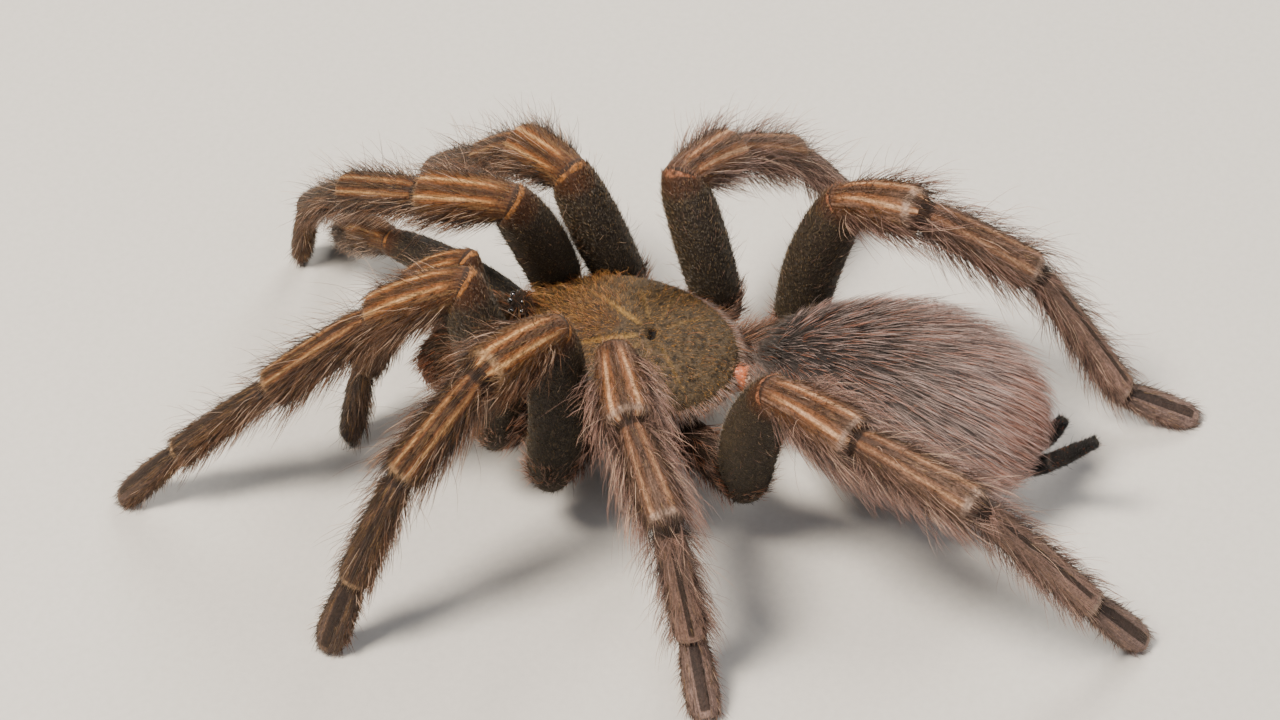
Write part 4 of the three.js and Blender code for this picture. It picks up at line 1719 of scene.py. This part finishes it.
FEMUR_COLOURS = ((0.0, "#3f2c20"), (1.95, "#35281f"), (2.1, "#2b251d"), (2.9, "#2e241b"))
FRONT_MARKS = LimbMarkings(
    FEMUR_COLOURS + (
        (3.0, "#4b2911"), (3.3, "#583212"), (3.7, "#633d1b"), (3.92, "#614027"), (4.0, "#2c1910"),
        (4.15, "#311d10"), (4.9, "#3c2516"), (5.0, "#281911"), (5.2, "#38261a"), (5.9, "#493427"),
        (6.0, "#35261f"), (7.0, "#5f4b41"),
    ),
    flank="#462d1b", tibia=0.55,
)
# The hind legs' paler tibia, metatarsus and tarsus are partly their own colour and partly painted sheen.
REAR_MARKS = LimbMarkings(
    FEMUR_COLOURS + (
        (3.0, "#4a2b18"), (3.3, "#5a3821"), (3.7, "#69472f"), (3.92, "#755845"), (4.0, "#35241c"),
        (4.15, "#513a2e"), (4.9, "#6f5546"), (5.0, "#3f2c24"), (5.2, "#7d6154"), (5.9, "#9d7c6d"),
        (6.0, "#5d4a43"), (7.0, "#8f756b"),
    ),
    flank="#83665a", stripe="#955d35", cream="#dab089", streak="#9c7a66", rim="#bfa38f", collar="#a4694a",
    spread=0.05, tibia=0.45,
)
# The palps' dark tarsi, from station 6, are painted shade.
PALP_MARKS = LimbMarkings(
    FEMUR_COLOURS + (
        (3.0, "#4c2a12"), (3.3, "#5c3615"), (3.9, "#5f4026"), (4.0, "#331d12"), (4.15, "#412c1e"),
        (4.9, "#4a3527"), (6.0, "#2b2320"), (6.2, "#342b27"), (7.0, "#463b36"),
    ),
    flank="#4a3528",
)
# Paler towards the rear: partly the coat's own colour, partly painted light.
ABDOMEN_MARKS = BodyMarkings(
    ((0.0, "#28211d"), (0.16, "#262120"), (0.34, "#332c2a"), (0.55, "#675c57"), (0.78, "#968580"),
     (0.9, "#a37b6c"), (1.0, "#8b4d38")),
    blotch="#25201d", blotch_share=0.55, blotch_mm=4.0, low="#8c7b74",
)
# Paler towards the rear: partly the long hair's own colour, partly painted light.
ABDOMEN_LONG = BodyMarkings(
    ((0.0, "#2f2520"), (0.25, "#46372f"), (0.5, "#7c6961"), (0.76, "#ac948b"), (0.9, "#b17d69"),
     (1.0, "#a05538")),
    blotch="#41352f", blotch_share=0.45, blotch_mm=3.0,
)
SHIELD_MARKS = BodyMarkings(
    ((0.0, "#4f3317"), (0.3, "#553614"), (0.7, "#4d3519"), (1.0, "#433421")), blotch="#21180f",
    blotch_share=0.85, blotch_mm=0.9, furrow="#b08a4c", furrow_share=0.6, low="#5d4c36",
)
MOUND_MARKS = BodyMarkings.plain("#241a12")
JAW_MARKS = BodyMarkings(((0.0, "#3b2b1e"), (0.7, "#453223"), (1.0, "#5f3a27")))
UNDER_MARKS = BodyMarkings(((0.0, "#2e241e"), (1.0, "#4a372a")))
WAIST_MARKS = BodyMarkings(
    ((0.0, "#33261f"), (0.34, "#3a2a22"), (0.39, "#c05c35"), (0.57, "#cb7448"), (0.62, "#4a3329")),
    blotch="#f0cdb4", blotch_share=0.5, blotch_mm=0.5,
)
SPINNERET_MARKS = BodyMarkings(
    ((0.0, "#1f1815"), (0.3, "#110e0d"), (0.42, "#110e0d"), (0.46, "#57504b"), (0.5, "#110e0d"),
     (1.0, "#0e0c0b"))
)

LEG_COAT = (
    Growth(5600, Hair(0.85, 0.088, 26, stray=14), Patch(1.2, 2.994)),
    Growth(6400, Hair(1.6, 0.093, 13, stray=7), Pile(3.013)),
    Growth(150, Hair(2.6, 0.05, 50, 0.6, 22, 3, wave=5, spread=0.3, slot=Legwear.LONG), Patch(2.08, 2.95)),
    Growth(240, Hair(5.2, 0.06, 56, 0.6, 25, 4, wave=6, spread=0.35, slot=Legwear.LONG),
           Patch(3.12, 5.6, bottom=0.55)),
    Growth(1200, Hair(0.9, 0.14, 40, stray=8), Patch(5.4, top=0.5)),
    Growth(450, Hair(1.9, 0.08, 42, 0.5, 14, 2, slot=Legwear.LONG), Patch(5.3, top=0.33, bottom=0.75)),
    Growth(600, Hair(2.8, 0.08, 32, 0.6, 18, 2, slot=Legwear.HIP, clump=0.3), Patch(0.45, 2.13, slope=-0.5),
           ((0.45, 1.7), (1.2, 1.3), (2.1, 1.0))),
)
FLANK_HAIR = Hair(
    4.6, 0.07, 28, 0.75, 13, 3, wave=6, spread=0.35, slot=Legwear.LONG, droop=0.3, clump=0.35
)
FRONT_FLANK = Growth(
    2300, FLANK_HAIR, Patch(3.1, 5.9, top=0.17, fade=0.3),
    ((3.0, 0.75), (3.6, 1.0), (4.1, 1.15), (4.9, 1.1), (5.3, 0.95), (5.9, 0.75)),
)
REAR_FLANK = Growth(
    2300, replace(FLANK_HAIR, length=5.4, lift=30, stray=14), Patch(3.1, 5.9, top=0.15, fade=0.28),
    ((3.0, 0.75), (3.6, 1.0), (4.1, 1.15), (4.9, 1.1), (5.3, 1.0), (5.9, 0.8)),
)
PALP_COAT = (
    Growth(2200, Hair(0.8, 0.095, 18, stray=10), Patch(1.2, 2.985)),
    Growth(4200, Hair(1.3, 0.1, 14, stray=7), Patch(3.013)),
    Growth(1100, Hair(3.0, 0.08, 26, 0.75, 11, 3, 5, 0.35, Legwear.LONG, droop=0.25, clump=0.45),
           Patch(3.06, top=0.2, fade=0.3)),
    Growth(90, Hair(3.6, 0.06, 55, 0.6, 24, 3, 6, 0.35, Legwear.LONG), Patch(3.1, bottom=0.5)),
)
DOWN_COAT = (
    Growth(27000, Hair(1.7, 0.103, 17, aside=0.3), Patch(0.02, bottom=0.97), ((0.0, 0.7), (0.2, 1.0))),
    Growth(1300, Hair(2.4, 0.09, 30, 0.6, 20, 2, forward=-1.0, spread=0.35), Patch(0.0, 0.1)),
)
LONG_COAT = (
    Growth(
        8400, Hair(6.2, 0.058, 20, 0.75, 10, 4, 4, 0.3, slot=1, aside=0.35, droop=0.06, clump=0.3, lock=7),
        Patch(0.03, bottom=0.9),
        ((0.0, 0.4), (0.15, 0.65), (0.5, 1.0), (0.8, 0.95), (0.95, 0.55), (1.0, 0.4)),
    ),
)
SHIELD_COAT = (
    Growth(21000, Hair(0.6, 0.084, 22, stray=40, forward=-1.0), Patch(slope=0.05)),
    Growth(1500, Hair(1.5, 0.06, 34, 1.2, 50, 3, 18, 0.4, Shieldwear.BRISTLE, -1.0),
           Patch(0.2, bottom=0.42, slope=0.1)),
    Growth(420, Hair(2.2, 0.05, 40, 1.3, 60, 3, 22, 0.4, Shieldwear.BRISTLE, -1.0), Patch(0.1, slope=0.1)),
    Growth(1300, Hair(2.1, 0.07, 14, 0.4, 18, 2, slot=Shieldwear.FRINGE, forward=-1.0),
           Patch(0.93, top=0.5, fade=0.1, slope=-0.2)),
    Growth(300, Hair(1.2, 0.07, 14, 0.3, 18, 2, slot=Shieldwear.FRINGE, forward=-1.0),
           Patch(0.93, bottom=0.55, slope=-0.2)),
)
MOUND_COAT = (
    Growth(1500, Hair(0.5, 0.07, 35, stray=30, slot=Shieldwear.MOUND)),
    Growth(80, Hair(2.8, 0.06, 60, 1.3, 22, 4, slot=Shieldwear.BRISTLE, forward=-1.0),
           Patch(top=0.35, slope=0.0)),
)
JAW_COAT = (
    Growth(2200, Hair(1.5, 0.125, 20, bends=2)),
    Growth(460, Hair(2.6, 0.09, 36, 0.6, 16, 3, slot=Smallwear.JAW_FRINGE, clump=0.4), Patch(0.6)),
)
STERNUM_COAT = (Growth(2400, Hair(1.6, 0.15, 25, slot=Smallwear.UNDERSIDE)),)
WAIST_COAT = (Growth(480, Hair(1.3, 0.08, 40, stray=35, bends=2, slot=Smallwear.WAIST)),)
SPINNERET_COAT = (
    Growth(3400, Hair(0.55, 0.1, 30, slot=Smallwear.SPINNERET)),
    Growth(100, Hair(1.2, 0.05, 48, 0.6, 20, 3, slot=Smallwear.SPINNERET)),
)


# ---- the animal ----


@dataclass
class Flesh:
    """Every form of the animal, and the one skin that covers its flesh."""

    layout: Layout

    def __post_init__(self) -> None:
        """Work out the forms."""
        self.limbs = {name: Limb(name, self.layout).form() for name in STANCE}
        self.abdomen = Abdomen(self.layout).form()
        under = Underside(self.layout)
        self.sternum, self.waist = under.form(), under.waist()
        fingers = Fingers(self.layout)
        self.jaws, self.fangs, self.spinnerets = fingers.jaws(), fingers.fangs(), fingers.spinnerets()
        self.shield = Shield(self.layout)
        self.plate, self.mound = self.shield.form(), self.shield.mound()

    def skin(self, nodes: list[str]) -> None:
        """Build the skin.

        Args:
            nodes: names of the solids that it stands for.
        """
        forms = []
        for name, form in self.limbs.items():
            front = Skin.PALP if "palp" in name else Skin.FRONT_LIMB
            forms.append((form, Skin.REAR_LIMB if name[-1] in HIND else front))
        forms.append((self.abdomen, Skin.ABDOMEN))
        forms += [(form, Skin.JAW) for form in self.jaws]
        forms += [(self.sternum, Skin.UNDERSIDE), (self.waist, Skin.WAIST)]
        forms += [(form, Skin.SPINNERET) for form in self.spinnerets]
        finishes = (
            Hide("front_limb_cuticle", FRONT_MARKS),
            Hide("rear_limb_cuticle", REAR_MARKS),
            Hide("palp_cuticle", PALP_MARKS),
            Hide("abdomen_cuticle", ABDOMEN_MARKS),
            Hide("jaw_cuticle", JAW_MARKS),
            Hide("underside_cuticle", UNDER_MARKS),
            Hide("waist_cuticle", WAIST_MARKS, dark=0.8),
            Hide("spinneret_cuticle", SPINNERET_MARKS),
        )
        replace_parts(wrap("skin", forms, finishes), *nodes)

    def hard_parts(self) -> None:
        """Build the shield, the fangs and the eyes: the bare or nearly bare plates."""
        finishes = (Hide("shield_cuticle", SHIELD_MARKS), Hide("eye_mound_cuticle", MOUND_MARKS))
        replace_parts(wrap("shield", [(self.plate, 0), (self.mound, 1)], finishes), "carapace")
        horn = Polished("fang_horn", "#140d0b", "#3a1a10", roughness=0.22, coat=0.4)
        fangs = wrap("fangs", [(form, 0) for form in self.fangs], (horn,))
        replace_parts(fangs, "left_fang", "right_fang")
        lens = Polished("eye_lens", "#0b0a0a", "#1c120c", roughness=0.16, coat=1.0, coat_ior=2.4)
        eyes = add_object("eyes", from_bmesh("eyes", Eyes(self.shield).mesh()), (lens,))
        places = ("front_middle", "front_side", "rear_side", "rear_middle")
        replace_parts(eyes, *(f"{side}_eye_{place}" for side in SIDES for place in places))


@dataclass
class Pelage:
    """All the hair: short pile that follows the skin's markings, and longer guard hair over it."""

    flesh: Flesh

    def limb_finishes(self, place: str, marks: LimbMarkings, root: str, tip: str) -> tuple[Finish, ...]:
        """Choose the hair of one group of limbs.

        Args:
            place: the group's name.
            marks: the markings of their skin, which the pile repeats.
            root: colour of the long hair at its root.
            tip: colour of the long hair at its tip.

        Returns:
            The finishes, in the order of Legwear.
        """
        return (
            HairFinish(f"{place}_limb_pile", marks, "#8f7a56", 0.15, deepest=0.5, lightest=1.5, odd="#84683f",
                       odd_share=0.08),
            HairFinish(f"{place}_limb_guard_hair", BodyMarkings.plain(root), tip, 0.85, deepest=0.5,
                       odd="#d2b398", odd_share=0.08),
            HairFinish(f"{place}_hip_fringe", BodyMarkings.plain("#6b4a3a"), "#c4a08c", 0.8, odd="#b9744a",
                       odd_share=0.15),
        )

    def grow(
        self, name: str, seed: int, coats: list[tuple[Form, tuple[Growth, ...]]],
        finishes: tuple[Finish, ...], slot: str,
    ) -> None:
        """Grow one piece of coat.

        Args:
            name: the piece's name.
            seed: seed of its scatter.
            coats: the forms that it covers, each with its kinds of hair.
            finishes: its finishes, in slot order.
            slot: not used.
        """
        coat = Coat(seed, len(coats))
        for strip, (form, growths) in enumerate(coats):
            coat.cover(form, growths, strip)
        add_object(name, coat.mesh(name), finishes)

    def legs(self) -> None:
        """Grow the coats of the legs and of the palps."""
        front = self.limb_finishes("front", FRONT_MARKS, "#2b1b13", "#90613e")
        # the pale tip of the hind legs' guard hair is partly its own colour and partly painted sheen
        rear = self.limb_finishes("rear", REAR_MARKS, "#46332b", "#be917e")
        palp = self.limb_finishes("palp", PALP_MARKS, "#30231b", "#8f6e56")
        limbs = self.flesh.limbs
        for seed, name in enumerate((n for n in limbs if "leg" in n), Seed.LEGS):
            hind = name[-1] in HIND
            growths = LEG_COAT + (REAR_FLANK if hind else FRONT_FLANK,)
            self.grow(f"coat_{name}", seed, [(limbs[name], growths)], rear if hind else front, "banded_leg")
        palps = [(limbs[f"{side}_palp"], PALP_COAT) for side in SIDES]
        self.grow("coat_palps", Seed.PALPS, palps, palp, "banded_leg")

    def body(self) -> None:
        """Grow the coats of the abdomen, the shield and the small parts."""
        flesh, plain = self.flesh, BodyMarkings.plain
        finishes = (
            HairFinish("abdomen_down", ABDOMEN_MARKS, "#96877c", 0.3, deepest=0.5, lightest=1.5,
                       odd_share=0.02),
            HairFinish("abdomen_long_hair", ABDOMEN_LONG, "#e8cabf", 0.68, deepest=0.4, lightest=1.5,
                       odd="#a9623f"),
        )
        self.grow("coat_abdomen_down", Seed.DOWN, [(flesh.abdomen, DOWN_COAT)], finishes, "abdomen")
        self.grow("coat_abdomen_long", Seed.LONG, [(flesh.abdomen, LONG_COAT)], finishes, "abdomen")
        finishes = (
            HairFinish("shield_velvet", SHIELD_MARKS, "#97804f", 0.3, deepest=0.25, lightest=1.9,
                       odd="#b07a2f", odd_share=0.12),
            HairFinish("shield_bristle", plain("#6e431c"), "#c48f48", 0.8),
            HairFinish("shield_fringe", plain("#93796c"), "#dcc6ba", 0.8),
            HairFinish("eye_mound_velvet", MOUND_MARKS, "#5d4426", odd_share=0.05),
        )
        coats = [(flesh.plate, SHIELD_COAT), (flesh.mound, MOUND_COAT)]
        self.grow("coat_shield", Seed.SHIELD, coats, finishes, "shield")
        finishes = (
            HairFinish("jaw_pile", JAW_MARKS, "#8a6a4a"),
            HairFinish("underside_pile", UNDER_MARKS, "#6b5343"),
            HairFinish("spinneret_pile", SPINNERET_MARKS, "#2c2522", 0.3, odd_share=0.0),
            HairFinish("jaw_fringe", plain("#5f3826"), "#a97452", 0.8),
            HairFinish("waist_pile", WAIST_MARKS, "#e2b49a", 0.5, odd_share=0.0),
        )
        coats = [(form, JAW_COAT) for form in flesh.jaws]
        coats += [(flesh.sternum, STERNUM_COAT), (flesh.waist, WAIST_COAT)]
        coats += [(form, SPINNERET_COAT) for form in flesh.spinnerets]
        self.grow("coat_small_parts", Seed.SMALL_PARTS, coats, finishes, "jaw")


def corners(box: tuple[Vector, Vector]) -> list[list[float]]:
    """Return a box's two corners as plain lists."""
    return [[float(value) for value in corner] for corner in box]


def main() -> None:
    """Build the whole scene."""
    logging.basicConfig(level=logging.INFO, format="%(message)s")
    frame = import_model()
    solid_box = corners(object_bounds())
    layout = Layout.from_frame()
    Studio(layout).build()
    flesh = Flesh(layout)
    flesh.skin([name for name in frame["nodes"] if not any(word in name for word in HARD_NODES)])
    flesh.hard_parts()
    pelage = Pelage(flesh)
    pelage.legs()
    pelage.body()
    sizes = {"cad": solid_box, "visual": corners(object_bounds())}
    LOG.info("sizes: %s", sizes)


if __name__ == "__main__":
    main()
